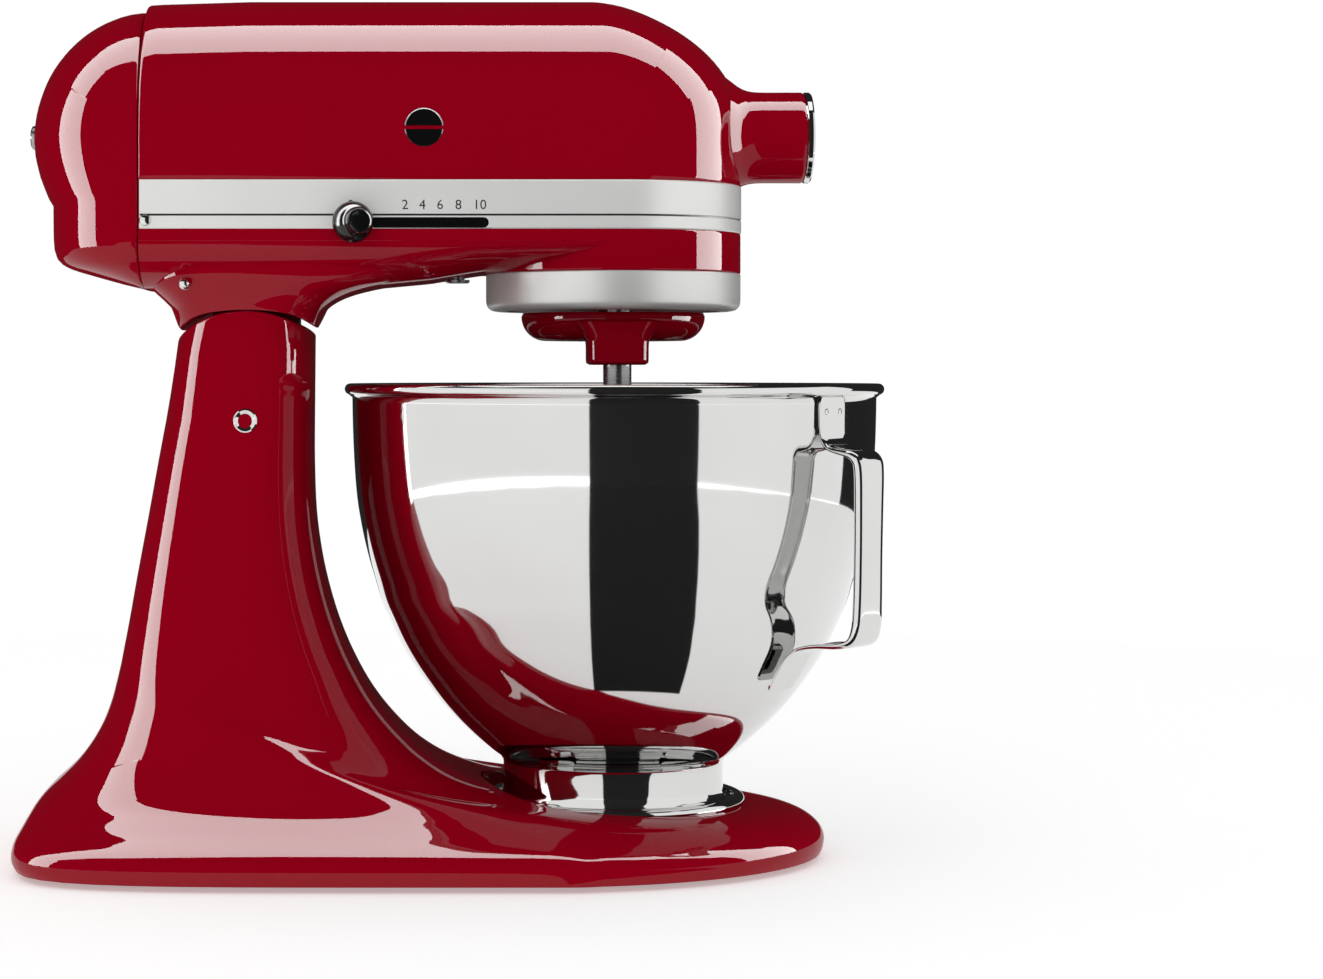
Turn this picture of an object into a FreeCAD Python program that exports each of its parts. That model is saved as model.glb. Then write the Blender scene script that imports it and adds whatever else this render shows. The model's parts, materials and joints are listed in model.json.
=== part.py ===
import FreeCAD, Part
import math
import os

# Tilt-head stand mixer, in millimetres, +Z up, +X towards the attachment hub.
# Lengths along X below are measured from the bowl's vertical axis. Every piece is moved
# by BOWL_AXIS_X at the end, so that the origin is at the middle of the footprint of the
# whole mixer, on the table.

V = FreeCAD.Vector
X_AXIS = V(1, 0, 0)
Y_AXIS = V(0, 1, 0)
Z_AXIS = V(0, 0, 1)

# ---------------------------------------------------------------- driving dimensions
BOWL_AXIS_X = 66.2

# head
HEAD_TOP = 353.0
HEAD_HALF = 52.7
HEAD_REAR = -192.0
HEAD_SPLIT = 266.0
SPRING_Z = 294.0
WALL = 3.5
BAND_LOW = 256.7
BAND_TOP = 276.2
BAND_DEPTH = 0.9
CREASE_Z = 252.0
GEARCASE_LOW = 240.3
NOSE = [(-10, 353), (4, 350.5), (16, 346), (28.7, 339.3), (41, 329.3), (49.5, 320), (52.7, 312)]

# hinge between head and pedestal
PIN_X = -149.9
PIN_Z = 180.2
PIN_R = 6.35
ARC_PEDESTAL = 44.0
ARC_HEAD = 46.4
TONGUE_HALF = 16.0
SLOT_HALF = 16.5
EYE_R = 15.0
RUNNING = 0.05

# drive line
DRIVE_Z = 296.9
SPUR_MODULE = 1.5
WORM_STARTS = 2
WORM_WHEEL_TEETH = 26
WORM_R = 6.0
PINION_TEETH = 14
CENTRE_TEETH = 36
BEVEL_MODULE = 2.5
CENTRE_BEVEL_TEETH = 24
HUB_BEVEL_TEETH = 16
RING_MODULE = 1.4
RING_TEETH = 54
PLANET_TEETH = 14
BEATER_OFFSET = (RING_TEETH - PLANET_TEETH) * RING_MODULE / 2
BEATER_R = 5.75
MAIN_SHAFT_R = 6.0

# hub for attachments
HUB_R = 18.8
HUB_BORE_R = 15.5
HUB_FACE_X = 78.6
COVER_SEAT_X = 72.0
COVER_SEAT_R = 16.8

# pedestal and bowl
BASE_FLAT_Z = 21.9
BASE_LOW = 2.5
BOWL_WALL = 1.3
HANDLE_ANGLE = -42.0
HANDLE_WIDTH = 18.0
LUG_ANGLES = (45, 135, 225, 315)

# ---------------------------------------------------------------- small makers


def cyl(radius, length, at, along=Z_AXIS):
    return Part.makeCylinder(radius, length, V(*at), along)


def tube(outer, inner, length, at, along=Z_AXIS):
    return cyl(outer, length, at, along).cut(cyl(inner, length, at, along))


def box(low, high):
    size = [h - l for l, h in zip(low, high)]
    return Part.makeBox(size[0], size[1], size[2], V(*low))


def wire_face(points):
    return Part.Face(Part.makePolygon([V(*p) for p in points + points[:1]]))


def side_slab(points, half):
    """Outline in X and Z, straight between points, thick along Y."""
    face = wire_face([(x, -half, z) for x, z in points])
    return face.extrude(V(0, 2 * half, 0))


def plan_slab(points, low, high):
    """Outline in X and Y, straight between points, from low to high."""
    face = wire_face([(x, y, low) for x, y in points])
    return face.extrude(V(0, 0, high - low))


def turned(points, at=(0, 0, 0), along=Z_AXIS):
    """Closed outline of (radius, height), straight between points, turned round a line."""
    solid = wire_face([(r, 0, z) for r, z in points]).revolve(V(0, 0, 0), Z_AXIS, 360)
    solid.Placement = FreeCAD.Placement(V(*at), FreeCAD.Rotation(Z_AXIS, along))
    return solid


def fuse(first, *others):
    return first.fuse(list(others))


def joined(solids):
    """Several separate solids kept in one node."""
    return Part.makeCompound(solids)


def mirrored_y(solid):
    return solid.mirror(V(0, 0, 0), Y_AXIS)


def spline(points):
    curve = Part.BSplineCurve()
    curve.interpolate([V(*p) for p in points])
    return curve.toShape()


def line(first, second):
    return Part.makeLine(V(*first), V(*second))


def smooth_wire(points):
    """Closed smooth wire through points."""
    curve = Part.BSplineCurve()
    curve.interpolate([V(*p) for p in points], PeriodicFlag=True)
    return Part.Wire(curve.toShape())


# ---------------------------------------------------------------- gears


def gear_outline(teeth, pitch_r, module, height, turn=0.0, share=0.4):
    """Straight-flanked teeth; share is the tooth's part of the pitch at the pitch circle."""
    tip = pitch_r + 0.8 * module
    root = pitch_r - 1.2 * module
    step = 2 * math.pi / teeth
    points = []
    for i in range(teeth):
        middle = i * step + turn
        for radius, half in ((root, 0.62), (tip, 0.5), (tip, -0.5), (root, -0.62)):
            angle = middle - half * share * step * (1.0 if radius == root else 0.66)
            points.append((radius * math.cos(angle), radius * math.sin(angle), height))
    return points


def outline_wire(points):
    return Part.makePolygon([V(*p) for p in points + points[:1]])


def spur_gear(teeth, module, width, bore, turn=0.0, twist=0.0, share=0.4):
    """Gear about Z from height 0 to width; twist is the turn of its teeth over that width."""
    pitch_r = teeth * module / 2
    low = outline_wire(gear_outline(teeth, pitch_r, module, 0, turn - twist / 2, share))
    high = outline_wire(gear_outline(teeth, pitch_r, module, width, turn + twist / 2, share))
    solid = Part.makeLoft([low, high], True, True)
    return solid.cut(cyl(bore, width + 2, (0, 0, -1)))


def bevel_gear(teeth, module, cone_height, keep, bore, turn=0.0):
    """Bevel gear about Z; apex at height 0, big end at -cone_height, little end keep times that."""
    pitch_r = teeth * module / 2
    big = gear_outline(teeth, pitch_r, module, -cone_height, turn, 0.36)
    small = [(x * keep, y * keep, z * keep) for x, y, z in big]
    solid = Part.makeLoft([outline_wire(big), outline_wire(small)], True, True)
    return solid.cut(cyl(bore, cone_height + 2, (0, 0, -cone_height - 1)))


def worm(radius, module, starts, length):
    """Worm about Z from 0 to length: a core with helical threads."""
    lead = math.pi * module * starts
    core = cyl(radius - 1.2 * module, length, (0, 0, 0))
    root = radius - 1.4 * module
    tip = radius + 0.8 * module
    threads = []
    for start in range(starts):
        helix = Part.makeHelix(lead, length - module * 2, radius)
        low = 0.62 * 0.4 * math.pi * module
        high = 0.5 * 0.26 * math.pi * module
        profile = Part.makePolygon([V(root, 0, -low), V(tip, 0, -high), V(tip, 0, high),
                                    V(root, 0, low), V(root, 0, -low)])
        thread = Part.Wire(helix).makePipeShell([profile], True, True)
        thread.translate(V(0, 0, module))
        thread.rotate(V(0, 0, 0), Z_AXIS, 360.0 * start / starts)
        threads.append(thread)
    return core.fuse(threads)


# ---------------------------------------------------------------- head shapes


def head_plan(inset, low, high, rear=HEAD_REAR):
    """Straight sides with a half-round nose, seen from above."""
    half = HEAD_HALF - inset
    arc = Part.Arc(V(0, -half, low), V(half, 0, low), V(0, half, low)).toShape()
    edges = [line((rear, -half, low), (0, -half, low)), arc, line((0, half, low), (rear, half, low)),
             line((rear, half, low), (rear, -half, low))]
    return Part.Face(Part.Wire(edges)).extrude(V(0, 0, high - low))


def head_side(inset, low, rear=HEAD_REAR):
    """Side outline of the upper housing with its sloping nose, thick along Y."""
    nose = [(x - inset, 0, z - inset) for x, z in NOSE]
    top = HEAD_TOP - inset
    end = nose[-1][0] + 3
    edges = [line((rear, 0, low), (rear, 0, top)), line((rear, 0, top), nose[0]), spline(nose)]
    edges.append(line(nose[-1], (end, 0, nose[-1][2] - 16)))
    edges.append(line((end, 0, nose[-1][2] - 16), (end, 0, low)))
    edges.append(line((end, 0, low), (rear, 0, low)))
    face = Part.Face(Part.Wire(edges))
    face.translate(V(0, -80, 0))
    return face.extrude(V(0, 160, 0))


def head_arch(inset, low, rear=HEAD_REAR, front=60.0, top=HEAD_TOP, half=HEAD_HALF):
    """Cross-section of the head, long along X: upright sides under a half ellipse."""
    b = half + 0.5 - inset
    h = top - inset - SPRING_Z
    points = []
    for i in range(13):
        angle = math.pi * i / 12
        points.append((rear, b * math.cos(angle), SPRING_Z + h * math.sin(angle)))
    edges = [spline(points), line(points[-1], (rear, -b, low)), line((rear, -b, low), (rear, b, low)),
             line((rear, b, low), points[0])]
    return Part.Face(Part.Wire(edges)).extrude(V(front - rear, 0, 0))


def upper_block(inset, low):
    solid = head_plan(inset, low, HEAD_TOP + 5).common(head_side(inset, low))
    return solid.common(head_arch(inset, low))


def tub_block(inset):
    """Lower head: sides fall from the crease to a narrow underside that rises to the nose."""
    half = HEAD_HALF - 0.1 - inset
    section = [(-half, CREASE_Z), (-half + 1.7, 246), (-half + 6, 241.5), (-half + 12, 238),
               (-half + 20, 234), (-half + 24, 231)]
    section = section + [(-y, z) for y, z in reversed(section)]
    rear = wire_face([(HEAD_REAR, y, z + inset * (z < CREASE_Z)) for y, z in section])
    along = rear.extrude(V(-HEAD_REAR, 0, 0))
    under = [(HEAD_REAR - 5, 270), (HEAD_REAR - 5, 233.6), (-150, 233.6), (-101, 234.6),
             (-76, 236.9), (-62, 239.2), (-54, GEARCASE_LOW + 0.1), (5, GEARCASE_LOW + 0.1), (5, 270)]
    under = [(x, z + inset) for x, z in under]
    return along.common(side_slab(under, 60))


def band_shape(outer, inner):
    """Ring that follows the head's outline at the height of the trim band."""
    ring = head_plan(HEAD_HALF - outer, BAND_LOW, BAND_TOP)
    return ring.cut(head_plan(HEAD_HALF - inner, BAND_LOW - 1, BAND_TOP + 1, HEAD_REAR - 1))


BAND_OUTER = HEAD_HALF + 0.3
BAND_INNER = HEAD_HALF - BAND_DEPTH
BRUSH_X = -78.4
BULKHEAD_X = -66.0
STATOR = (-150.0, -95.0)
WHEEL_Y = WORM_R + WORM_WHEEL_TEETH * SPUR_MODULE / 2
GEAR_DISTANCE = (PINION_TEETH + CENTRE_TEETH) * SPUR_MODULE / 2
WHEEL_X = -math.sqrt(GEAR_DISTANCE ** 2 - WHEEL_Y ** 2)
BRACKET_Z = 255.0
SLOT_X = (-113.0, -50.0)
LEVER_X = -108.0
LEVER_Z = 259.0
LOCK_X = -174.0
LOCK_Z = 235.0
LOCK_R = 2.5
HOOK_Y = (24.0, 29.0)
GLAND_Y = 20.0
GLAND_Z = 262.0
BRACKET_SCREWS = ((-40, 10), (-14, 38), (24, -14), (-14, -20))


def upper_housing():
    shell = upper_block(0, HEAD_SPLIT).cut(upper_block(WALL, HEAD_SPLIT - 1))
    bulkhead = upper_block(WALL - 0.5, HEAD_SPLIT).common(
        box((BULKHEAD_X, -60, HEAD_SPLIT), (BULKHEAD_X + 5, 60, HEAD_TOP)))
    hub = turned([(0, 0), (26, 0), (22, 4), (19.6, 9), (HUB_R, 15), (HUB_R, HUB_FACE_X - 44),
                  (0, HUB_FACE_X - 44)], (44, 0, DRIVE_Z), X_AXIS)
    bearing_boss = cyl(14, 9, (40, 0, DRIVE_Z), X_AXIS)
    solid = fuse(shell, bulkhead, hub, bearing_boss)
    solid = solid.cut(cyl(HUB_BORE_R, 40, (49, 0, DRIVE_Z), X_AXIS))
    solid = solid.cut(cyl(COVER_SEAT_R, 20, (COVER_SEAT_X, 0, DRIVE_Z), X_AXIS))
    solid = solid.cut(cyl(11, 20, (38, 0, DRIVE_Z), X_AXIS))
    solid = solid.cut(cyl(11, 20, (BULKHEAD_X - 5, 0, DRIVE_Z), X_AXIS))
    solid = solid.cut(cyl(3.0, 20, (66, 10, DRIVE_Z), Y_AXIS))
    for side in (-1, 1):
        solid = solid.cut(cyl(6.5, 20, (BRUSH_X, side * 40, DRIVE_Z), V(0, side, 0)))
        solid = solid.cut(cyl(8.05, 8, (BRUSH_X, side * 50.5, DRIVE_Z), V(0, side, 0)))
    return solid.cut(band_shape(BAND_OUTER + 1, BAND_INNER))


def neck_block():
    """Neck under the tub, hollowed by the arc that clears the pedestal's round top."""
    outline = [(-192, 244), (-192, 233.8), (-186, 229.6), (-180.8, 224.7), (-178.6, 219.3),
               (-178.4, 205), (-122.2, 205), (-122.4, 220.5), (-117.5, 227.6), (-111, 231.7),
               (-101, 234.6), (-95, 244)]
    neck = side_slab(outline, 44)
    rounding = plan_slab([(-192, -36), (-184, -44), (-120, -44), (-105, -40), (-95, -34),
                          (-95, 34), (-105, 40), (-120, 44), (-184, 44), (-192, 36)], 200, 250)
    return neck.common(rounding).cut(cyl(ARC_HEAD, 200, (PIN_X, -100, PIN_Z), Y_AXIS))


def tongue():
    """Lug in the middle of the neck that reaches down round the hinge pin."""
    y = -TONGUE_HALF
    rear, front = PIN_X - EYE_R, PIN_X + EYE_R
    eye = Part.Arc(V(rear, y, PIN_Z), V(PIN_X, y, PIN_Z - EYE_R), V(front, y, PIN_Z)).toShape()
    corners = [(front, y, PIN_Z), (front, y, 197.2), (-130.2, y, 197.2), (-130.2, y, 231.3),
               (rear, y, 231.3), (rear, y, PIN_Z)]
    edges = [eye] + [line(first, second) for first, second in zip(corners, corners[1:])]
    return Part.Face(Part.Wire(edges)).extrude(V(0, 2 * TONGUE_HALF, 0))


def lower_housing():
    rim = head_plan(0, CREASE_Z, HEAD_SPLIT)
    gearcase = cyl(HEAD_HALF, CREASE_Z - GEARCASE_LOW, (0, 0, GEARCASE_LOW))
    solid = fuse(neck_block().fuse(tongue()), tub_block(0), rim, gearcase)
    hollow = head_plan(WALL, CREASE_Z + 0.7, 280, HEAD_REAR - 2)
    hollow = hollow.fuse(cyl(HEAD_HALF - WALL - 0.3, 20, (0, 0, GEARCASE_LOW + WALL)))
    hollow = hollow.fuse(tub_block(WALL))
    bulkhead = box((BULKHEAD_X, -60, 230), (BULKHEAD_X + 5, 60, 285))
    solid = solid.cut(hollow.cut(bulkhead))
    boss = cyl(15, 9, (0, 0, GEARCASE_LOW + 1))
    posts = [cyl(4, BRACKET_Z - GEARCASE_LOW - 1, (x, y, GEARCASE_LOW + 1)) for x, y in BRACKET_SCREWS]
    cradles = []
    for x in (-142.0, -107.0):
        rib = box((x, -51, 236), (x + 4, 51, HEAD_SPLIT - 0.5))
        cradles.append(rib.common(hollow).cut(cyl(42.2, 20, (x - 5, 0, DRIVE_Z), X_AXIS)))
    solid = fuse(solid, boss, *posts, *cradles)
    solid = solid.cut(cyl(10, 30, (0, 0, 230)))
    solid = solid.cut(cyl(PIN_R + RUNNING, 60, (PIN_X, -30, PIN_Z), Y_AXIS))
    solid = solid.cut(cyl(LOCK_R + RUNNING, 100, (LOCK_X, -50, LOCK_Z), Y_AXIS))
    pocket = cyl(20.5, HOOK_Y[1] - HOOK_Y[0] + 1, (LOCK_X, HOOK_Y[0] - 0.5, LOCK_Z), Y_AXIS)
    solid = solid.cut(pocket.common(box((-200, 20, 200), (-150, 34, 242))))
    solid = solid.cut(cyl(3, 12, (-64.5, 0, 232)))
    slot = box((SLOT_X[0], -60, LEVER_Z - 2.2), (SLOT_X[1], -45, LEVER_Z + 2.2))
    link_room = box((-126, -49, LEVER_Z - 4.2), (-46, -43, LEVER_Z + 4.2))
    return solid.cut(slot).cut(link_room).cut(band_shape(BAND_OUTER + 1, BAND_INNER))


def cap_block(inset):
    """Rear cap: domed in side view and in plan, with an upright chin low at the back."""
    points = [(-193, 348), (-202, 346.8), (-208.5, 344.3), (-214.7, 341.4), (-220.9, 336.8), (-227.2, 330.6),
              (-233.4, 321.9), (-237.1, 312.7), (-239.2, 304.4), (-240, 296.1), (-239.2, 287.8),
              (-237.1, 279.5), (-233.8, 271.2)]
    dome = spline([(x + inset, 0, z - inset * (z > 300)) for x, z in points])
    start = (points[0][0] + inset, 0, points[0][1] - inset)
    end = (points[-1][0] + inset, 0, points[-1][1])
    chin = [end, (-231.7 + inset, 0, 270), (-231.7 + inset, 0, 254.6), (-228 + inset, 0, 244 + inset),
            (-213, 0, 239 + inset), (-192, 0, 233.7 + inset), (-192, 0, start[2])]
    edges = [dome]
    for first, second in zip(chin, chin[1:]):
        edges.append(line(first, second))
    edges.append(line(chin[-1], start))
    face = Part.Face(Part.Wire(edges))
    face.translate(V(0, -80, 0))
    side = face.extrude(V(0, 160, 0))
    half = HEAD_HALF - 0.4 - inset
    plan = []
    for i in range(25):
        angle = math.pi / 2 + math.pi * i / 24
        c, s = math.cos(angle), math.sin(angle)
        reach = (49 - inset) * math.copysign(abs(c) ** 0.8, c)
        plan.append((HEAD_REAR + reach, half * math.copysign(abs(s) ** 0.8, s)))
    top_view = plan_slab(plan, 230, 352)
    arch = head_arch(inset, CREASE_Z - 2, -245, HEAD_REAR, 348.6, HEAD_HALF - 0.4)
    section = [(-half, CREASE_Z), (-half + 1.7, 246), (-half + 6, 241.5), (-half + 12, 238),
               (-half + 20, 234), (-half + 24, 231)]
    section = section + [(-y, z) for y, z in reversed(section)]
    low = wire_face([(-245, y, z + inset * (z < CREASE_Z)) for y, z in section]).extrude(V(53, 0, 0))
    return side.common(top_view).common(arch.fuse(low))


def rear_cap():
    solid = cap_block(0).cut(cap_block(WALL - 0.5))
    solid = solid.cut(cyl(5.5, 12, (-236, GLAND_Y, GLAND_Z), X_AXIS))
    for y in (-24, -16, -8, 0, 8):
        solid = solid.cut(box((-222, y - 1.5, 230), (-200, y + 1.5, 246)))
    return solid.cut(cyl(2.6, 20, (-245, 0, DRIVE_Z), X_AXIS))


def trim_band():
    band = band_shape(BAND_OUTER, BAND_INNER)
    slot = box((SLOT_X[0] + 1, -60, LEVER_Z - 1.9), (SLOT_X[1] - 1, -45, LEVER_Z + 1.9))
    groove = band_shape(BAND_OUTER + 1, BAND_OUTER - 0.4).common(box((-200, -60, 264), (60, 60, 264.8)))
    return band.cut(slot).cut(groove)


def band_screws():
    screws = []
    for side in (-1, 1):
        screws.append(turned([(0, 0), (2.4, 0), (1.8, 1.1), (0, 1.5)],
                             (-188, side * BAND_OUTER, 259.5), V(0, side, 0)))
    return joined(screws)


def drip_ring():
    return turned([(50.0, GEARCASE_LOW), (HEAD_HALF, GEARCASE_LOW), (HEAD_HALF, 228.5), (51.6, 225.8),
                   (49.5, 224.7), (44.0, 224.7), (44.0, 226.2), (49.2, 226.2), (50.0, 228.5)])


def ring_gear():
    pitch_r = RING_TEETH * RING_MODULE / 2
    step = 2 * math.pi / RING_TEETH
    root = pitch_r + 1.2 * RING_MODULE
    tip = pitch_r - 0.8 * RING_MODULE
    points = []
    for i in range(RING_TEETH):
        middle = i * step
        for radius, share in ((root, 0.26), (tip, 0.15), (tip, -0.15), (root, -0.26)):
            angle = middle - share * step
            points.append((radius * math.cos(angle), radius * math.sin(angle), 228.0))
    space = Part.Face(outline_wire(points)).extrude(V(0, 0, 8.0))
    rim = cyl(43.0, 8.0, (0, 0, 228.0)).cut(space)
    flange = tube(43.0, 35.0, GEARCASE_LOW - 236.0, (0, 0, 236.0))
    return fuse(rim, flange)


# ---------------------------------------------------------------- motor and gears in the head


def stator_core():
    outer = cyl(42, STATOR[1] - STATOR[0], (STATOR[0], 0, DRIVE_Z), X_AXIS)
    sides = box((STATOR[0], -42, DRIVE_Z - 41), (STATOR[1], 42, DRIVE_Z + 30))
    return outer.common(sides).cut(cyl(22.8, 80, (STATOR[0] - 5, 0, DRIVE_Z), X_AXIS))


def field_coils():
    coils = []
    for side in (-1, 1):
        for x in (STATOR[0] - 7.0, STATOR[1] + 0.2):
            ring = tube(40, 26, 6.8, (x, 0, DRIVE_Z), X_AXIS)
            low = (x, 12, DRIVE_Z - 24) if side > 0 else (x, -40, DRIVE_Z - 24)
            high = (x + 7, 40, DRIVE_Z + 24) if side > 0 else (x + 7, -12, DRIVE_Z + 24)
            coils.append(ring.common(box(low, high)))
    return joined(coils)


def armature_core():
    core = cyl(22, 46, (-145.5, 0, DRIVE_Z), X_AXIS)
    for i in range(12):
        slot = box((-146, -1.2, DRIVE_Z + 15), (-99, 1.2, DRIVE_Z + 23))
        slot.rotate(V(0, 0, DRIVE_Z), X_AXIS, 30 * i)
        core = core.cut(slot)
    for x in (-153.0, -99.5):
        core = core.fuse(cyl(17, 7.5, (x, 0, DRIVE_Z), X_AXIS))
    return core.cut(cyl(4, 70, (-160, 0, DRIVE_Z), X_AXIS))


def motor_shaft():
    shaft = cyl(4, 146, (-188, 0, DRIVE_Z), X_AXIS)
    thread = worm(WORM_R, SPUR_MODULE, WORM_STARTS, 36)
    thread.Placement = FreeCAD.Placement(V(-46, 0, DRIVE_Z), FreeCAD.Rotation(Z_AXIS, X_AXIS))
    return shaft.fuse(thread)


def commutator():
    drum = tube(13, 4, 13, (-85, 0, DRIVE_Z), X_AXIS)
    for i in range(24):
        cut = box((-85.5, -0.3, DRIVE_Z + 12), (-71.5, 0.3, DRIVE_Z + 14))
        cut.rotate(V(0, 0, DRIVE_Z), X_AXIS, 15 * i)
        drum = drum.cut(cut)
    return drum


def cooling_fan():
    fan = tube(34, 4, 1.6, (-166, 0, DRIVE_Z), X_AXIS).fuse(tube(8, 4, 8, (-166, 0, DRIVE_Z), X_AXIS))
    for i in range(12):
        blade = box((-166, -0.7, DRIVE_Z + 12), (-158.5, 0.7, DRIVE_Z + 33))
        blade.rotate(V(0, 0, DRIVE_Z), X_AXIS, 30 * i)
        fan = fan.fuse(blade)
    return fan


def governor():
    hub = tube(7, 4, 9, (-178, 0, DRIVE_Z), X_AXIS)
    plate = tube(18, 4, 1.5, (-178, 0, DRIVE_Z), X_AXIS)
    solid = hub.fuse(plate)
    for side in (-1, 1):
        solid = solid.fuse(box((-176.6, side * 12 - 3, DRIVE_Z - 8), (-170.5, side * 12 + 3, DRIVE_Z + 8)))
    return solid


def brush_holders():
    tubes = []
    for side in (-1, 1):
        tubes.append(tube(6.4, 4.2, 34, (BRUSH_X, side * 15.5, DRIVE_Z), V(0, side, 0)))
    return joined(tubes)


def carbon_brushes():
    return joined([cyl(4.1, 14, (BRUSH_X, side * 13.4, DRIVE_Z), V(0, side, 0)) for side in (-1, 1)])


def brush_springs():
    springs = []
    for side in (-1, 1):
        helix = Part.makeHelix(3.0, 20.0, 3.0)
        wire = Part.Wire([Part.makeCircle(0.45, V(3.0, 0, 0), Y_AXIS)])
        coil = Part.Wire(helix).makePipeShell([wire], True, True)
        coil.rotate(V(0, 0, 0), X_AXIS, -90 * side)
        coil.translate(V(BRUSH_X, side * 28.2, DRIVE_Z))
        springs.append(coil)
    return joined(springs)


def brush_caps():
    caps = []
    for side in (-1, 1):
        head = cyl(7.75, 2.0, (BRUSH_X, side * 51.2, DRIVE_Z), V(0, side, 0))
        stem = cyl(6.3, 1.4, (BRUSH_X, side * 49.8, DRIVE_Z), V(0, side, 0))
        slot = box((BRUSH_X - 9, 52.2, DRIVE_Z - 0.9), (BRUSH_X + 9, 54, DRIVE_Z + 0.9))
        caps.append(head.fuse(stem).cut(slot if side > 0 else mirrored_y(slot)))
    return joined(caps)


def bearings():
    parts = [tube(10, MAIN_SHAFT_R + RUNNING, 9, (0, 0, 241.5)),
             tube(11, 4 + RUNNING, 5, (BULKHEAD_X, 0, DRIVE_Z), X_AXIS),
             tube(9, 4 + RUNNING, 4, (-186, 0, DRIVE_Z), X_AXIS),
             tube(11, 8 + RUNNING, 9, (40, 0, DRIVE_Z), X_AXIS)]
    return joined(parts)


def rear_bearing_bracket():
    plate = box((-186, -47.5, DRIVE_Z - 12), (-182, 47.5, DRIVE_Z + 12))
    plate = plate.fuse(cyl(22, 4, (-186, 0, DRIVE_Z), X_AXIS))
    return plate.cut(cyl(9, 10, (-189, 0, DRIVE_Z), X_AXIS))


def gear_bracket():
    plate = plan_slab([(-46, 4), (-46, 22), (-36, 40), (-14, 44), (-6, 40), (12, 14), (30, -10),
                       (26, -22), (-12, -28), (-22, -20)], BRACKET_Z, BRACKET_Z + 3)
    tower = cyl(9, 8, (WHEEL_X, WHEEL_Y, BRACKET_Z - 5))
    solid = fuse(plate, tower)
    solid = solid.cut(cyl(MAIN_SHAFT_R + RUNNING, 20, (0, 0, BRACKET_Z - 8)))
    return solid.cut(cyl(4 + RUNNING, 20, (WHEEL_X, WHEEL_Y, BRACKET_Z - 8)))


def bracket_screws():
    screws = []
    for x, y in BRACKET_SCREWS:
        screws.append(cyl(3.2, 2.2, (x, y, BRACKET_Z + 3)))
    return joined(screws)


def centre_gear():
    """Spur gear with the bevel gear for the hub on top, in one piece."""
    spur = spur_gear(CENTRE_TEETH, SPUR_MODULE, 8, MAIN_SHAFT_R, CENTRE_PHASE)
    spur.translate(V(0, 0, 261))
    neck = tube(20, MAIN_SHAFT_R, DRIVE_Z - 20 - 269, (0, 0, 269))
    cone = bevel_gear(CENTRE_BEVEL_TEETH, BEVEL_MODULE, BEVEL_HUB_R, 0.72, MAIN_SHAFT_R, CENTRE_BEVEL_PHASE)
    cone.translate(V(0, 0, DRIVE_Z))
    return fuse(spur, neck, cone)


BEVEL_HUB_R = HUB_BEVEL_TEETH * BEVEL_MODULE / 2
BEVEL_CENTRE_R = CENTRE_BEVEL_TEETH * BEVEL_MODULE / 2
# line from the centre shaft to the worm gear's shaft, where the two spur gears mesh
MESH_ANGLE = math.atan2(WHEEL_Y, WHEEL_X)
CENTRE_PHASE = MESH_ANGLE
PINION_PHASE = MESH_ANGLE + math.pi + math.pi / PINION_TEETH
CENTRE_BEVEL_PHASE = 0.0
LEAD_TAN = WORM_STARTS * SPUR_MODULE / (2 * WORM_R)
WHEEL_WIDTH = 8.0
WHEEL_TWIST = WHEEL_WIDTH * LEAD_TAN / (WORM_WHEEL_TEETH * SPUR_MODULE / 2)


def main_shaft():
    return cyl(MAIN_SHAFT_R, 285.0 - 218.0, (0, 0, 218.0))


def worm_gear():
    wheel = spur_gear(WORM_WHEEL_TEETH, SPUR_MODULE, WHEEL_WIDTH, 4, WHEEL_PHASE, WHEEL_TWIST, 0.36)
    wheel.translate(V(0, 0, DRIVE_Z - WHEEL_WIDTH / 2))
    pinion = spur_gear(PINION_TEETH, SPUR_MODULE, 8, 4, PINION_PHASE)
    pinion.translate(V(0, 0, 261))
    sleeve = tube(5.1, 4, DRIVE_Z - WHEEL_WIDTH / 2 - 269, (0, 0, 269))
    solid = fuse(pinion, sleeve, wheel)
    solid.translate(V(WHEEL_X, WHEEL_Y, 0))
    return solid


def worm_gear_shaft():
    return cyl(4, 54, (WHEEL_X, WHEEL_Y, 249))


def worm_crossing(x):
    """Distance along X from x to the thread's crossing nearest to it on the wheel's side."""
    pitch = math.pi * SPUR_MODULE
    first = -46 + SPUR_MODULE + WORM_HELIX_TURN * pitch * WORM_STARTS
    return (first - x + pitch / 2) % pitch - pitch / 2


# the helix starts on the worm's -Z side, a quarter turn before the side that meets the wheel
WORM_HELIX_TURN = 0.25
WHEEL_PHASE = (-math.pi / 2 + (worm_crossing(WHEEL_X) + math.pi * SPUR_MODULE / 2)
               / (WORM_WHEEL_TEETH * SPUR_MODULE / 2))


def hub_bevel_gear():
    gear = bevel_gear(HUB_BEVEL_TEETH, BEVEL_MODULE, BEVEL_CENTRE_R, 0.72, 8, math.pi / HUB_BEVEL_TEETH)
    gear.rotate(V(0, 0, 0), Y_AXIS, -90)
    gear.translate(V(0, 0, DRIVE_Z))
    return gear


def hub_drive_shaft():
    shaft = cyl(8, 26.8, (22, 0, DRIVE_Z), X_AXIS)
    return shaft.cut(box((34, -4, DRIVE_Z - 4), (57, 4, DRIVE_Z + 4)))


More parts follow.
